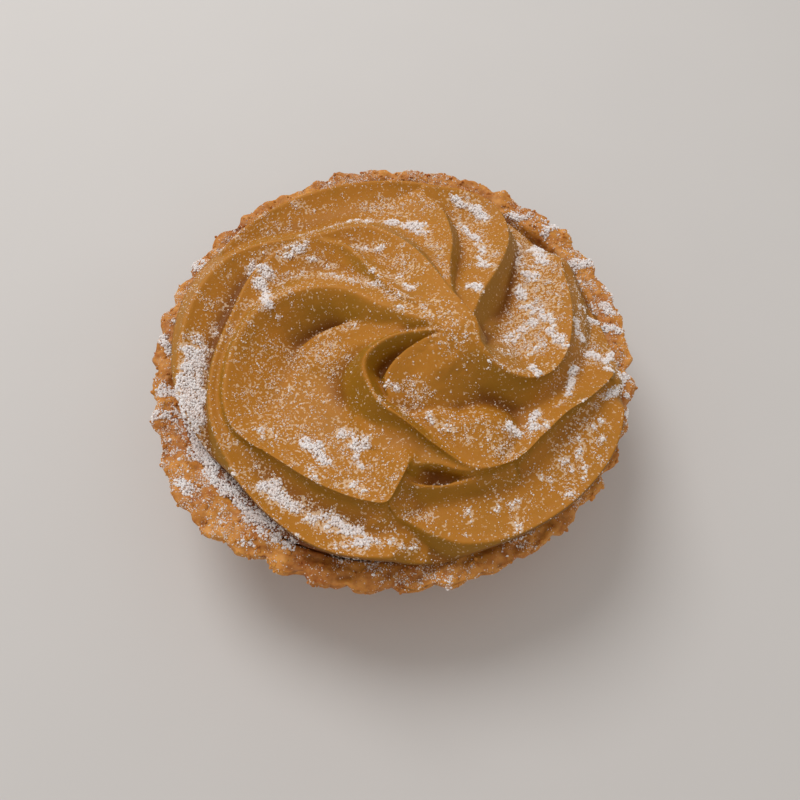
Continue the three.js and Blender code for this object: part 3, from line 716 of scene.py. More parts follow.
def short_crust(colours, name="baked_short_crust"):
    """Short crust pastry, baked in a fluted tin: dry and open. The eye gets sandy crumb, golden
    high spots that are a little glassy with butter, and crevices darkened with painted shade."""
    material, tree, shader = new_material(name)
    place = add(tree, "ShaderNodeTexCoord").outputs["Object"]
    patch = add(tree, "ShaderNodeTexNoise", {"Vector": place, "Scale": per_mm(9), "Detail": 4.0})
    crumb = add(tree, "ShaderNodeTexNoise", {"Vector": place, "Scale": per_mm(1.1), "Detail": 3.0})
    pore = add(tree, "ShaderNodeTexVoronoi", {"Vector": place, "Scale": per_mm(0.55)})
    hollow = add(tree, "ShaderNodeNewGeometry").outputs["Pointiness"]
    bake = add(tree, "ShaderNodeMapRange",
               {0: patch.outputs["Fac"], 1: 0.36, 2: 0.66, 3: 0.0, 4: 0.65})
    spots = add(tree, "ShaderNodeMapRange", {0: crumb.outputs["Fac"], 1: 0.4, 2: 0.68, 3: 0.0, 4: 0.45})
    browned = add(tree, "ShaderNodeMath", {0: bake.outputs[0], 1: spots.outputs[0]}, operation="ADD",
                  use_clamp=True)
    base = add(tree, "ShaderNodeMix",
               {0: browned.outputs[0], 6: colours.crust_pale, 7: colours.crust_brown}, data_type="RGBA")
    # painted shade: hollows, found by their pointiness, are darkened towards the darkest crust
    crevice_shade = add(tree, "ShaderNodeMapRange", {0: hollow, 1: 0.5, 2: 0.42, 3: 0.0, 4: 0.8})
    face = add(tree, "ShaderNodeMix",
               {0: crevice_shade.outputs[0], 6: base.outputs[2], 7: colours.crust_dark_and_shade}, data_type="RGBA")
    sandy = add(tree, "ShaderNodeBump",
                {"Strength": 0.5, "Distance": 0.2 * MM, "Height": crumb.outputs["Fac"]})
    pitted = add(tree, "ShaderNodeBump", {
        "Strength": 0.4, "Distance": 0.1 * MM, "Height": pore.outputs["Distance"],
        "Normal": sandy.outputs["Normal"],
    })
    rough = add(tree, "ShaderNodeMapRange", {0: crumb.outputs["Fac"], 1: 0.3, 2: 0.7, 3: 0.45, 4: 0.8})
    tree.links.new(face.outputs[2], shader.inputs["Base Color"])
    tree.links.new(rough.outputs[0], shader.inputs["Roughness"])
    tree.links.new(pitted.outputs["Normal"], shader.inputs["Normal"])
    shader.inputs["IOR"].default_value = 1.46
    shader.inputs["Subsurface Weight"].default_value = 0.22
    shader.inputs["Subsurface Radius"].default_value = (1.0, 0.45, 0.15)
    shader.inputs["Subsurface Scale"].default_value = 0.9 * MM
    return material


def almond_filling(colours):
    """Baked almond filling: moist crumb under a thin skin. The eye gets a duller, darker brown than
    the crust, softly uneven, with a slight shine."""
    material, tree, shader = new_material("baked_almond_filling")
    place = add(tree, "ShaderNodeTexCoord").outputs["Object"]
    patch = add(tree, "ShaderNodeTexNoise", {"Vector": place, "Scale": per_mm(4), "Detail": 4.0})
    pore = add(tree, "ShaderNodeTexVoronoi", {"Vector": place, "Scale": per_mm(0.9)})
    base = add(tree, "ShaderNodeMix",
               {0: patch.outputs["Fac"], 6: colours.crust_dark_and_shade, 7: colours.filling}, data_type="RGBA")
    bumps = add(tree, "ShaderNodeBump",
                {"Strength": 0.6, "Distance": 0.3 * MM, "Height": pore.outputs["Distance"]})
    tree.links.new(base.outputs[2], shader.inputs["Base Color"])
    tree.links.new(bumps.outputs["Normal"], shader.inputs["Normal"])
    shader.inputs["Roughness"].default_value = 0.55
    shader.inputs["IOR"].default_value = 1.45
    return material


def snow_sugar(colours, name="sifted_snow_sugar", damp=0.0):
    """Snow sugar, sifted: dry powder of tiny crystals that lies in loose heaps. The eye gets matte
    white that light passes into; grains that lie alone have drawn up the cream's damp and its tan."""
    material, tree, shader = new_material(name)
    place = add(tree, "ShaderNodeTexCoord").outputs["Object"]
    tint = add(tree, "ShaderNodeTexNoise", {"Vector": place, "Scale": per_mm(1.6), "Detail": 2.0})
    # the sugar's tint wavers between these two
    warm = mix(np.array(colours.sugar) * (0.96, 0.9, 0.87, 1.0), np.array(colours.sugar_damp), damp)
    white = mix(np.array(colours.sugar), np.array(colours.sugar_damp), damp * 0.4)
    amount = add(tree, "ShaderNodeMapRange", {0: tint.outputs["Fac"], 1: 0.35, 2: 0.65, 3: 0.0, 4: 1.0})
    face = add(tree, "ShaderNodeMix", {0: amount.outputs[0], 6: tuple(warm), 7: tuple(white)},
               data_type="RGBA")
    tree.links.new(face.outputs[2], shader.inputs["Base Color"])
    shader.inputs["Roughness"].default_value = 0.8
    shader.inputs["IOR"].default_value = 1.54
    shader.inputs["Specular IOR Level"].default_value = 0.3
    shader.inputs["Subsurface Weight"].default_value = 0.3
    shader.inputs["Subsurface Radius"].default_value = (1.0, 0.9, 0.8)
    shader.inputs["Subsurface Scale"].default_value = 0.35 * MM
    return material


def matte_board(colours):
    """Painted board: an even matte sheet with the faintest roller mottle."""
    material, tree, shader = new_material("matte_board")
    place = add(tree, "ShaderNodeTexCoord").outputs["Object"]
    mottle = add(tree, "ShaderNodeTexNoise", {"Vector": place, "Scale": per_mm(30), "Detail": 4.0})
    shade = tuple(c * 0.97 for c in colours.floor[:3]) + (1.0,)
    face = add(tree, "ShaderNodeMix", {0: mottle.outputs["Fac"], 6: shade, 7: colours.floor},
               data_type="RGBA")
    tree.links.new(face.outputs[2], shader.inputs["Base Color"])
    shader.inputs["Roughness"].default_value = 0.85
    return material


# ---- where the sugar lies --------------------------------------------------------------------
def drift_amount(x, y):
    """How thickly the sugar fell over each point of the plan, 0 to about 1.2."""
    amount = np.zeros(len(x))
    for x0, y0, x1, y1, radius, thick in SUGAR_DRIFTS:
        dx, dy = x1 - x0, y1 - y0
        t = np.clip(((x - x0) * dx + (y - y0) * dy) / (dx * dx + dy * dy + 1e-9), 0, 1)
        far = np.hypot(x - x0 - t * dx, y - y0 - t * dy) / radius
        amount = np.maximum(amount, thick * (1 - smoothstep(far, 0.3, 1.5)))
    return amount


def sugar_values(points, normals, background, steepest):
    """Fine, heaped and banked sugar at each point, from 0 to 1; the thin film; how open the face is."""
    # clumps run down a slope, so their pattern is stretched upwards
    flat = points * (1, 1, 0.4)
    facing = smoothstep(normals[:, 2], steepest, steepest + STEEP_FADE)
    stray_x = 2 * STRAY * noise(flat, STRAY_SIZE, SEEDS["stray_x"]) - STRAY
    stray_y = 2 * STRAY * noise(flat, STRAY_SIZE, SEEDS["stray_y"]) - STRAY
    fell = drift_amount(points[:, 0] + stray_x, points[:, 1] + stray_y)
    patches = noise(flat, PATCH_SIZE, SEEDS["patches"], 2)
    clumps = noise(flat, CLUMP_SIZE, SEEDS["clumps"], 2)
    cover = np.maximum(fell, background * (0.1 + 1.8 * smoothstep(patches, *PATCH_EDGE)))
    close = smoothstep(clumps, *CLUMP_EDGE)
    holds = STEEP_SHARE + (1 - STEEP_SHARE) * facing
    fine = (cover * (FINE_LOOSE + FINE_CLUMPED * close) + FINE_STRAY) * holds
    heap = smoothstep(np.maximum(fell, 0.75 * cover) * (0.5 + clumps), *HEAP_EDGE) * facing
    bank = smoothstep(fell * (0.6 + 0.8 * clumps), *BANK_EDGE) * facing
    film = (0.15 + 0.85 * facing) * np.clip(0.05 + 0.75 * cover + 0.3 * heap, 0, 1)
    return (np.clip(fine, 0, 1), heap, bank), film, facing


# ---- pieces ----------------------------------------------------------------------------------
def crust_tree():
    """Flutes the turned crust, then raises its knobs and crumb."""
    tree, given, out = new_tree("fluted_crust", (
        ("Flutes", "NodeSocketInt", 38), ("Flute depth", "NodeSocketFloat", 0.0012),
        ("Knob height", "NodeSocketFloat", 0.0007), ("Crumb height", "NodeSocketFloat", 0.0003),
        ("Seed", "NodeSocketInt", 7), ("Material", "NodeSocketMaterial", None),
    ))
    place = add(tree, "GeometryNodeInputPosition").outputs[0]
    normal = add(tree, "GeometryNodeInputNormal").outputs[0]
    flute = add(tree, "GeometryNodeInputNamedAttribute", {"Name": "flute"}, data_type="FLOAT").outputs[0]
    edge = add(tree, "GeometryNodeInputNamedAttribute", {"Name": "edge"}, data_type="FLOAT").outputs[0]
    parts = add(tree, "ShaderNodeSeparateXYZ", {0: place}).outputs
    angle = add(tree, "ShaderNodeMath", {0: parts["Y"], 1: parts["X"]}, operation="ARCTAN2")
    half = add(tree, "ShaderNodeMath", {0: given["Flutes"], 1: 2.0}, operation="DIVIDE")
    wave = add(tree, "ShaderNodeMath", {0: angle.outputs[0], 1: half.outputs[0]}, operation="MULTIPLY")
    cosine = add(tree, "ShaderNodeMath", {0: wave.outputs[0]}, operation="COSINE")
    lobe = add(tree, "ShaderNodeMath", {0: cosine.outputs[0]}, operation="ABSOLUTE")
    valley = add(tree, "ShaderNodeMath", {0: 1.0, 1: lobe.outputs[0]}, operation="SUBTRACT")
    depth = add(tree, "ShaderNodeMath", {0: valley.outputs[0], 1: given["Flute depth"]},
                operation="MULTIPLY")
    inward = add(tree, "ShaderNodeMath", {0: depth.outputs[0], 1: flute}, operation="MULTIPLY")
    level = add(tree, "ShaderNodeVectorMath", {0: place, 1: (1, 1, 0)}, operation="MULTIPLY")
    outward = add(tree, "ShaderNodeVectorMath", {0: level.outputs[0]}, operation="NORMALIZE")
    minus = add(tree, "ShaderNodeMath", {0: inward.outputs[0], 1: -1.0}, operation="MULTIPLY")
    fluting = add(tree, "ShaderNodeVectorMath", {0: outward.outputs[0], "Scale": minus.outputs[0]},
                  operation="SCALE")

    def swell(size, detail, height, share):
        """Uneven rise and fall in lumps of this size, as high as the height's share."""
        field = add(tree, "ShaderNodeTexNoise", {
            "Vector": place, "W": given["Seed"], "Scale": per_mm(size), "Detail": detail,
        }, noise_dimensions="4D")
        centred = add(tree, "ShaderNodeMapRange",
                      {0: field.outputs[0], 1: 0.3, 2: 0.7, 3: -1.0, 4: 1.0}, clamp=False)
        raised = add(tree, "ShaderNodeMath", {0: centred.outputs[0], 1: height}, operation="MULTIPLY")
        return add(tree, "ShaderNodeMath", {0: raised.outputs[0], 1: share}, operation="MULTIPLY")

    bare = add(tree, "ShaderNodeMapRange", {0: edge, 1: 0.0, 2: 1.0, 3: 0.4, 4: 1.0})
    knobs = swell(KNOB_SIZE, 1.5, given["Knob height"], edge)
    crumb = swell(CRUMB_SIZE, 2.0, given["Crumb height"], bare.outputs[0])
    rise = add(tree, "ShaderNodeMath", {0: knobs.outputs[0], 1: crumb.outputs[0]}, operation="ADD")
    crags = add(tree, "ShaderNodeVectorMath", {0: normal, "Scale": rise.outputs[0]}, operation="SCALE")
    # the flat underside stays flat
    above = add(tree, "ShaderNodeMath", {0: parts["Z"], 1: FLAT_BELOW * MM}, operation="GREATER_THAN")
    both = add(tree, "ShaderNodeVectorMath", {0: fluting.outputs[0], 1: crags.outputs[0]},
               operation="ADD")
    moved = add(tree, "GeometryNodeSetPosition", {
        "Geometry": given["Geometry"], "Selection": above.outputs[0], "Offset": both.outputs[0],
    })
    real = add(tree, "GeometryNodeRealizeInstances", {0: moved.outputs[0]})
    done = add(tree, "GeometryNodeSetMaterial",
               {"Geometry": real.outputs[0], "Material": given["Material"]})
    tree.links.new(done.outputs[0], out["Geometry"])
    return tree


def grain_tree(name, sides):
    """Scatters small lumps over the faces, as thick as the named amount says.

    A lump is a ball of this many sides and one middle row, or under 3 an icosphere of this level.
    """
    tree, given, out = new_tree(name, (
        ("Amount", "NodeSocketString", "fine"), ("Density", "NodeSocketFloat", 1e6),
        ("Radius", "NodeSocketFloat", 0.0003), ("Smallest", "NodeSocketFloat", 0.5),
        ("Pile", "NodeSocketFloat", 0.0), ("Lumpiness", "NodeSocketFloat", 0.5),
        ("Seed", "NodeSocketInt", 1), ("Material", "NodeSocketMaterial", None),
    ))
    amount = add(tree, "GeometryNodeInputNamedAttribute", {"Name": given["Amount"]}, data_type="FLOAT")
    density = add(tree, "ShaderNodeMath", {0: amount.outputs[0], 1: given["Density"]}, operation="MULTIPLY")
    spread = add(tree, "GeometryNodeDistributePointsOnFaces", {
        "Mesh": given["Geometry"], "Density": density.outputs[0], "Seed": given["Seed"],
    }, distribute_method="RANDOM")
    if sides > 2:
        lump = add(tree, "GeometryNodeMeshUVSphere", {"Segments": sides, "Rings": 2, "Radius": 1.0})
    else:
        lump = add(tree, "GeometryNodeMeshIcoSphere", {"Radius": 1.0, "Subdivisions": sides})
    lift = add(tree, "FunctionNodeRandomValue", {2: 0.0, 3: 1.0, "Seed": given["Seed"]})
    heaped = add(tree, "ShaderNodeMath", {0: lift.outputs[1], 1: amount.outputs[0]}, operation="MULTIPLY")
    height = add(tree, "ShaderNodeMath", {0: heaped.outputs[0], 1: given["Pile"]}, operation="MULTIPLY")
    raised = add(tree, "ShaderNodeVectorMath", {0: spread.outputs["Normal"], "Scale": height.outputs[0]},
                 operation="SCALE")
    piled = add(tree, "GeometryNodeSetPosition",
                {"Geometry": spread.outputs["Points"], "Offset": raised.outputs[0]})
    size = add(tree, "FunctionNodeRandomValue", {2: given["Smallest"], 3: 1.0, "Seed": given["Seed"]})
    radius = add(tree, "ShaderNodeMath", {0: size.outputs[1], 1: given["Radius"]}, operation="MULTIPLY")
    stretch = add(tree, "FunctionNodeRandomValue",
                  {0: GRAIN_LEAST, 1: GRAIN_MOST, "Seed": given["Seed"]}, data_type="FLOAT_VECTOR")
    scale = add(tree, "ShaderNodeVectorMath", {0: stretch.outputs[0], "Scale": radius.outputs[0]},
                operation="SCALE")
    turn = add(tree, "FunctionNodeRandomValue",
               {0: (0, 0, 0), 1: (math.tau, math.tau, math.tau), "Seed": given["Seed"]},
               data_type="FLOAT_VECTOR")
    placed = add(tree, "GeometryNodeInstanceOnPoints", {
        "Points": piled.outputs[0], "Instance": lump.outputs["Mesh"],
        "Rotation": turn.outputs[0], "Scale": scale.outputs[0],
    })
    real = add(tree, "GeometryNodeRealizeInstances", {0: placed.outputs[0]})
    where = add(tree, "GeometryNodeInputPosition").outputs[0]
    pitch = add(tree, "ShaderNodeMath", {0: DENT_SIZE, 1: given["Radius"]}, operation="DIVIDE")
    field = add(tree, "ShaderNodeTexNoise", {"Vector": where, "Scale": pitch.outputs[0], "Detail": 1.0})
    centred = add(tree, "ShaderNodeVectorMath", {0: field.outputs["Color"], 1: (0.5, 0.5, 0.5)},
                  operation="SUBTRACT")
    bulge = add(tree, "ShaderNodeMath", {0: given["Lumpiness"], 1: given["Radius"]}, operation="MULTIPLY")
    crooked = add(tree, "ShaderNodeVectorMath", {0: centred.outputs[0], "Scale": bulge.outputs[0]},
                  operation="SCALE")
    shaped = add(tree, "GeometryNodeSetPosition",
                 {"Geometry": real.outputs[0], "Offset": crooked.outputs[0]})
    done = add(tree, "GeometryNodeSetMaterial",
               {"Geometry": shaped.outputs[0], "Material": given["Material"]})
    tree.links.new(done.outputs[0], out["Geometry"])
    return tree


def crust_profile():
    """Rows of (radius, height, share of the flutes, share of the crumbly edge)."""
    rows = (
        (FOOT_RADIUS - FOOT_CHAMFER, 0, 0.6, 0),
        (FOOT_RADIUS - 0.25, 0.3, 0.9, 0),
        (FOOT_RADIUS, FOOT_CHAMFER, 1, 0),
        (mix(FOOT_RADIUS, RIM_RADIUS, 0.55), RIM_HEIGHT * 0.52, 1, 0),
        (mix(FOOT_RADIUS, RIM_RADIUS, 0.9), RIM_HEIGHT - 4.0, 1, 0.25),
        (RIM_RADIUS, RIM_HEIGHT - 1.4, 1, 0.7),
        (RIM_RADIUS - 0.5, RIM_HEIGHT - 0.2, 0.85, 1),
        (mix(INNER_TOP, RIM_RADIUS, 0.4), RIM_HEIGHT + 0.2, 0.15, 1),
        (INNER_TOP + 0.4, RIM_HEIGHT - 0.2, 0, 0.7),
        (INNER_TOP, RIM_HEIGHT - INNER_LIP, 0, 0.4),
        (INNER_TOP - 1.2, RIM_HEIGHT - 5.0, 0, 0),
        (INNER_FOOT, FLOOR_THICKNESS, 0, 0),
    )

    def spacing(a, b):
        """Close rows where the edge is crumbly, wider down the fluted wall, widest inside."""
        if max(a[3], b[3]) > 0.3:
            return 0.4
        return 0.6 if b[2] > 0.5 else 5.0

    return resampled(rows, spacing)


class TART_OT_crust(bpy.types.Operator):
    """Bake the fluted crust"""

    bl_idname = "tart.crust"
    bl_label = "Crust"

    def execute(self, context):
        sizes, colours = context.scene.tart_sizes, context.scene.tart_colours
        rows = crust_profile()
        count = sizes.flutes * STEPS_PER_FLUTE
        points, faces = turned(rows[:, :2], count)
        points = np.array(points)
        flute = np.concatenate([np.repeat(rows[:, 2], count), [0, 0]])
        edge = np.concatenate([np.repeat(rows[:, 3], count), [0, 0]])
        # the rim leans outwards at the near left and flares a little all round; the inside stays
        outside = np.minimum(flute * 1.5, 1)
        angle = np.degrees(np.arctan2(points[:, 1], points[:, 0]))
        apart = (angle - LIP_DIRECTION + 540) % 360 - 180
        high = np.clip((points[:, 2] - RIM_HEIGHT * LIP_START) / (RIM_HEIGHT * (1 - LIP_START)), 0, 1)
        lean = LIP_REACH * np.exp(-(apart / LIP_SPREAD) ** 2) * high * outside
        lean += RIM_FLARE * smoothstep(points[:, 2], RIM_HEIGHT * FLARE_START, RIM_HEIGHT) * outside
        points[:, 0] += lean * np.cos(np.radians(angle))
        points[:, 1] += lean * np.sin(np.radians(angle))
        piece = mesh_object("crust_baked", points, faces)
        set_values(piece.data, "flute", flute)
        set_values(piece.data, "edge", edge)
        apply_tree(piece, crust_tree(), {
            "Flutes": sizes.flutes, "Flute depth": sizes.flute_depth, "Knob height": sizes.knob_height,
            "Crumb height": sizes.crumb_height, "Seed": sizes.seed, "Material": short_crust(colours),
        })
        dressed(piece, "crust")
        return {"FINISHED"}


class TART_OT_filling(bpy.types.Operator):
    """Bake the almond filling inside the crust"""

    bl_idname = "tart.filling"
    bl_label = "Filling"

    def execute(self, context):
        def wall(height):
            """Radius of the filling against the crust's inner wall at this height."""
            share = (height - FLOOR_THICKNESS) / (RIM_HEIGHT - INNER_LIP - FLOOR_THICKNESS)
            return mix(INNER_FOOT, INNER_TOP, share) - FILLING_GAP - 0.1

        foot = FLOOR_THICKNESS + FILLING_GAP
        rows = resampled((
            (wall(foot), foot), (wall(FILLING_TOP - 0.8), FILLING_TOP - 0.8),
            (wall(FILLING_TOP) - 0.25, FILLING_TOP - 0.2), (wall(FILLING_TOP) - 0.8, FILLING_TOP),
            (wall(FILLING_TOP) * 0.78, FILLING_TOP - 0.2),
            (wall(FILLING_TOP) * 0.5, FILLING_TOP - FILLING_SAG),
        ), lambda a, b: 6.0 if b[1] < FILLING_TOP - 0.7 else 0.55)
        points, faces = turned(rows, FILLING_STEPS)
        points = np.array(points)
        top = smoothstep(points[:, 2], FILLING_TOP - 2, FILLING_TOP - 0.6)
        far = np.hypot(points[:, 0], points[:, 1])
        angle = np.degrees(np.arctan2(points[:, 1], points[:, 0])) % 360
        sector = smoothstep(angle, *BARE_FROM) * (1 - smoothstep(angle, *BARE_TO))
        bare = smoothstep(far, *BARE_RADII) * sector
        rise = FILLING_RISE * noise(points, FILLING_LUMPS, SEEDS["filling"]) - FILLING_SINK
        points[:, 2] += top * (rise + BARE_SWELL * bare)
        points[:, :2] *= (1 + top * bare * BARE_SPREAD / np.maximum(far, 1))[:, None]
        piece = mesh_object("filling_baked", points, faces)
        piece.data.materials.append(almond_filling(context.scene.tart_colours))
        dressed(piece, "filling")
        return {"FINISHED"}


def cream_side(angle, top, rim, first):
    """Rings of points down the cream's side from its rim, and its faces, closed by a flat underside.

    angle, top and rim are the rim points' directions, heights and numbers; first is the number of
    the first new point.
    """
    side = np.array(CREAM_SIDE)
    turn = np.radians(angle)
    away = 0.5 + 0.5 * np.cos(np.radians(angle - UNDERCUT_DIRECTION))
    undercut = mix(UNDERCUT_LEAST, 1.0, away)
    rings, faces, above = [], [], rim
    for row in range(1, SIDE_ROWS + 1):
        share = 1 - row / SIDE_ROWS
        out = np.interp(share, side[::-1, 0], side[::-1, 1]) * undercut
        height = mix(CREAM_UNDERSIDE, top, share)
        widest = RIM_CLEAR_RADIUS + RIM_CLEAR_OPENING * np.maximum(0, height - RIM_CLEAR_HEIGHT)
        r = np.minimum(edge_radius(angle) + out, widest - UNDERSIDE_STEP * (row == SIDE_ROWS))
        rings.append(np.stack([r * np.cos(turn), r * np.sin(turn), height], -1))
        ring = first + np.arange(len(rim))
        faces += list(np.stack([above, ring, np.roll(ring, -1), np.roll(above, -1)], -1))
        above, first = ring, first + len(rim)
    rings.append([[0, 0, CREAM_UNDERSIDE]])
    faces += list(np.stack([above, np.full(len(rim), first), np.roll(above, -1)], -1))
    return rings, faces


class TART_OT_cream(bpy.types.Operator):
    """Pipe the swirl of chestnut cream"""

    bl_idname = "tart.cream"
    bl_label = "Cream"

    def execute(self, context):
        u, v = np.meshgrid(*[np.linspace(-1, 1, CREAM_CELLS + 1)] * 2)
        share = np.maximum(np.abs(u), np.abs(v))
        wide = np.abs(u) >= np.abs(v)
        # the square grid is bent to a disc: each square ring is one share of the way to the edge
        with np.errstate(divide="ignore", invalid="ignore"):
            across_x, across_y = np.where(u > 0, 0, 180) + 45 * v / u, np.where(v > 0, 90, 270) - 45 * u / v
        angle = np.where(wide, across_x, across_y)
        angle = np.where(share > 0, angle, 0)
        x, y = swirl_point(angle, share)
        relief, across, drawn_x, drawn_y = swirl_relief(x, y)
        z = RIM_HEIGHT + dome_height(share) + relief
        # the folds' outer sides are drawn in under their crests
        inner = 1 - smoothstep(share, *EDGE_FADE)
        drawn_x, drawn_y = blurred(drawn_x, 1), blurred(drawn_y, 1)
        points = np.stack([x - drawn_x * inner, y - drawn_y * inner, z], -1).reshape(-1, 3)
        # fine drag lines of the nozzle run along every fold
        wander = DRAG_WANDER * noise(points, DRAG_LENGTH, SEEDS["wander"], 1)
        lines = np.stack([across.ravel() + wander, 3 * wander, 0 * wander], -1)
        drag = DRAG_HEIGHT * (noise(lines, DRAG_SPACING, SEEDS["drag"], 2) - 0.5)
        points[:, 2] += drag + RIPPLE_HEIGHT * (noise(points, RIPPLE_SIZE, SEEDS["ripple"]) - 0.5)
        # the cream tore where the nozzle lifted away at the tip
        torn = 1 - smoothstep(share.ravel(), TORN_FADE, TORN_END)
        points[:, 2] += TORN_HEIGHT * torn * (noise(points, TORN_SIZE, SEEDS["torn"], 2) - 0.5)
        n = CREAM_CELLS + 1
        ids = np.arange(n * n).reshape(n, n)
        quads = np.stack([ids[:-1, :-1], ids[:-1, 1:], ids[1:, 1:], ids[1:, :-1]], -1).reshape(-1, 4)
        rim = np.concatenate([ids[0, :-1], ids[:-1, -1], ids[-1, :0:-1], ids[:0:-1, 0]])
        rings, faces = cream_side(angle.ravel()[rim], points[rim, 2], rim, len(points))
        piece = mesh_object("cream_piped", np.vstack([points, *rings]), [*quads, *faces])
        mesh = piece.data
        flow = np.zeros((len(mesh.vertices), 3))
        flow[:n * n, 0] = FLOW_CLOSE * (across.ravel() + wander)
        flow[:n * n, 1] = FLOW_WANDER * wander
        set_values(mesh, "flow", flow)
        # painted shade: the cream's side, and folds lying under the blurred surface, are darkened towards
        # the fold cream
        deep = np.full(len(mesh.vertices), SIDE_SHADE)
        below = blurred(relief, DEEP_CELLS) - relief
        deep[:n * n] = DEEP_SHADE * smoothstep(below, DEEP_FROM, DEEP_FULL).ravel()
        set_values(mesh, "deep", deep)
        mesh.materials.append(chestnut_cream(context.scene.tart_colours))
        dressed(piece, "cream")
        return {"FINISHED"}


def sugar_ground():
    """One mesh of all that the sugar falls on, its faces, and how much of each kind lies at its points."""
    parts, faces, total = [], [], 0
    amounts = {"fine": [], "heap": [], "bank": []}
    for name, background, steepest, inside, under in SUGAR_GROUNDS:
        mesh = bpy.data.objects[name].data
        points, normals = positions(mesh)
        layers, film, facing = sugar_values(points, normals, background, steepest)
        hidden = (np.hypot(points[:, 0], points[:, 1]) < inside) | (points[:, 2] < under)
        for key, layer in zip(amounts, layers):
            amounts[key].append(np.where(hidden, 0, layer))
        if name == "cream_piped":
            # the cream's material shows this film, and how level each face is, which it paints as light on
            # level faces and shade on steep ones
            set_values(mesh, "veil", film)
            set_values(mesh, "open", facing)
        corners = np.empty(len(mesh.loops), int)
        mesh.loops.foreach_get("vertex_index", corners)
        starts = np.empty(len(mesh.polygons), int)
        mesh.polygons.foreach_get("loop_start", starts)
        faces += [face + total for face in np.split(corners, starts[1:])]
        parts.append(points)
        total += len(points)
    ground = mesh_object("sugar_ground", np.vstack(parts), faces)
    amounts = {key: np.concatenate(layers) for key, layers in amounts.items()}
    for key, values in amounts.items():
        set_values(ground.data, key, values)
    return ground, faces, amounts


class TART_OT_sugar(bpy.types.Operator):
    """Sift icing sugar over the cream and the crust"""

    bl_idname = "tart.sugar"
    bl_label = "Icing sugar"

    def execute(self, context):
        sizes, colours = context.scene.tart_sizes, context.scene.tart_colours
        ground, faces, amounts = sugar_ground()
        areas = np.empty(len(faces))
        ground.data.polygons.foreach_get("area", areas)
        dry = snow_sugar(colours)
        damp = snow_sugar(colours, "damp_snow_sugar", 1.0)
        part_damp = snow_sugar(colours, "half_damp_snow_sugar", 0.5)
        # piece, which amount, material, sides of a grain, how many, their radius, the smallest as a
        # share of it, how high they pile, how crooked they are, and what is added to the seed
        kinds = (
            ("sugar_fine", "fine", damp, 3, sizes.fine_grains, sizes.grain, 0.45, 0.0001, 0.5, 0),
            ("sugar_coarse", "fine", part_damp, 4, sizes.coarse_grains, sizes.coarse, 0.45, 0.0001, 0.5, 4),
            ("sugar_heaped", "heap", dry, 1, sizes.heaped_grains, sizes.flake, 0.45, 0.0004, 0.9, 1),
            ("sugar_banked", "bank", dry, 1, sizes.banked_grains, sizes.lump, 0.5, 0.0004, 0.9, 6),
            ("sugar_lumps", "heap", dry, 2, sizes.lumps, sizes.lump, 0.5, 0.0002, 1.1, 2),
        )
        for name, amount, material, sides, wanted, radius, smallest, pile, crooked, extra in kinds:
            covered = float((areas * np.array([amounts[amount][face].mean() for face in faces])).sum())
            piece = bpy.data.objects.new(name, ground.data.copy())
            context.collection.objects.link(piece)
            apply_tree(piece, grain_tree(name, sides), {
                "Amount": amount, "Density": wanted / covered, "Radius": radius, "Smallest": smallest,
                "Pile": pile, "Lumpiness": crooked, "Seed": sizes.seed + extra, "Material": material,
            })
            dressed(piece, None)
        bpy.data.objects.remove(ground)
        return {"FINISHED"}


class TART_OT_crumbs(bpy.types.Operator):
    """Leave loose pastry crumbs on the rim"""

    bl_idname = "tart.crumbs"
    bl_label = "Pastry crumbs"

    def execute(self, context):
        sizes, colours = context.scene.tart_sizes, context.scene.tart_colours
        piece = bpy.data.objects.new("crust_crumbs", bpy.data.objects["crust_baked"].data.copy())
        context.collection.objects.link(piece)
        points = positions(piece.data)[0]
        high = smoothstep(points[:, 2], RIM_HEIGHT - 2.6, RIM_HEIGHT - 0.8)
        outside = smoothstep(np.hypot(points[:, 0], points[:, 1]), INNER_TOP - 0.5, INNER_TOP + 1)
        rough = smoothstep(noise(points, 5.0, SEEDS["crumbs"]), 0.35, 0.65)
        set_values(piece.data, "loose", high * outside * (0.25 + 0.75 * rough))
        apply_tree(piece, grain_tree("crust_crumbs", 2), {
            "Amount": "loose", "Density": CRUMBS_PER_SQUARE_METRE, "Radius": sizes.crumb,
            "Smallest": 0.35, "Pile": 0.0, "Lumpiness": 1.2, "Seed": sizes.seed + 3,
            "Material": short_crust(colours, "loose_pastry_crumb"),
        })
        dressed(piece, None)
        return {"FINISHED"}


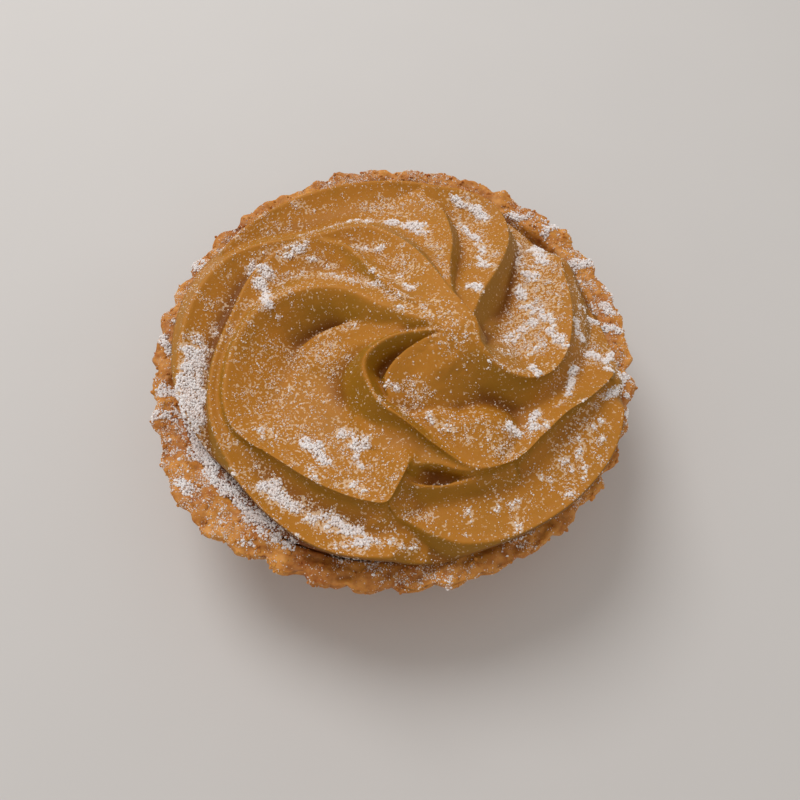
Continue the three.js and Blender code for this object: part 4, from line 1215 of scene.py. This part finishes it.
class TART_OT_stage(bpy.types.Operator):
    """Set the floor, the soft light and the camera"""

    bl_idname = "tart.stage"
    bl_label = "Stage"

    def execute(self, context):
        scene = context.scene
        corners = [(x * FLOOR_HALF_WIDTH, y * FLOOR_HALF_WIDTH, 0)
                   for x, y in ((-1, -1), (1, -1), (1, 1), (-1, 1))]
        floor = mesh_object("floor", corners, [(0, 1, 2, 3)], smooth=False)
        floor.data.materials.append(matte_board(scene.tart_colours))

        lamp = bpy.data.lights.new("soft_window", "AREA")
        lamp.shape = "DISK"
        lamp.size = LAMP_WIDTH
        lamp.energy = LAMP_POWER
        key = bpy.data.objects.new("soft_window", lamp)
        key.location = LAMP
        key.rotation_euler = Vector(LAMP).to_track_quat("Z", "Y").to_euler()
        context.collection.objects.link(key)

        world = bpy.data.worlds.new("room")
        scene.world = world
        world.use_nodes = True
        room = world.node_tree.nodes["Background"]
        room.inputs["Color"].default_value = ROOM_TINT
        room.inputs["Strength"].default_value = ROOM_LIGHT

        camera = bpy.data.cameras.new("camera")
        camera.sensor_width = EYE_FILM
        camera.lens = EYE_LENS
        camera.clip_start = NEAREST_SEEN * MM
        eye = bpy.data.objects.new("camera", camera)
        eye.location = [place * MM for place in EYE]
        eye.rotation_euler = (math.radians(EYE_TILT), 0, 0)
        context.collection.objects.link(eye)
        scene.camera = eye
        scene.view_settings.view_transform = "Standard"
        return {"FINISHED"}


class TART_PT_panel(bpy.types.Panel):
    """The tart's pieces, in the order they are made"""

    bl_idname = "TART_PT_panel"
    bl_label = "Chestnut cream tart"
    bl_space_type = "VIEW_3D"
    bl_region_type = "UI"
    bl_category = "Tart"

    def draw(self, context):
        layout = self.layout
        for operator in OPERATORS:
            layout.operator(operator.bl_idname)
        for group in (context.scene.tart_sizes, context.scene.tart_colours):
            box = layout.box()
            for name in group.__annotations__:
                box.prop(group, name)


OPERATORS = (TART_OT_crust, TART_OT_filling, TART_OT_cream, TART_OT_sugar, TART_OT_crumbs, TART_OT_stage)
CLASSES = (TartSizes, TartColours, *OPERATORS, TART_PT_panel)


def register():
    for cls in CLASSES:
        bpy.utils.register_class(cls)
    bpy.types.Scene.tart_sizes = PointerProperty(type=TartSizes)
    bpy.types.Scene.tart_colours = PointerProperty(type=TartColours)


def unregister():
    del bpy.types.Scene.tart_colours
    del bpy.types.Scene.tart_sizes
    for cls in reversed(CLASSES):
        bpy.utils.unregister_class(cls)


def main():
    """Registers the tart's settings and makes every piece in order."""
    register()
    bpy.ops.tart.crust()
    bpy.ops.tart.filling()
    bpy.ops.tart.cream()
    bpy.ops.tart.sugar()
    bpy.ops.tart.crumbs()
    bpy.ops.tart.stage()


if __name__ == "__main__":
    main()
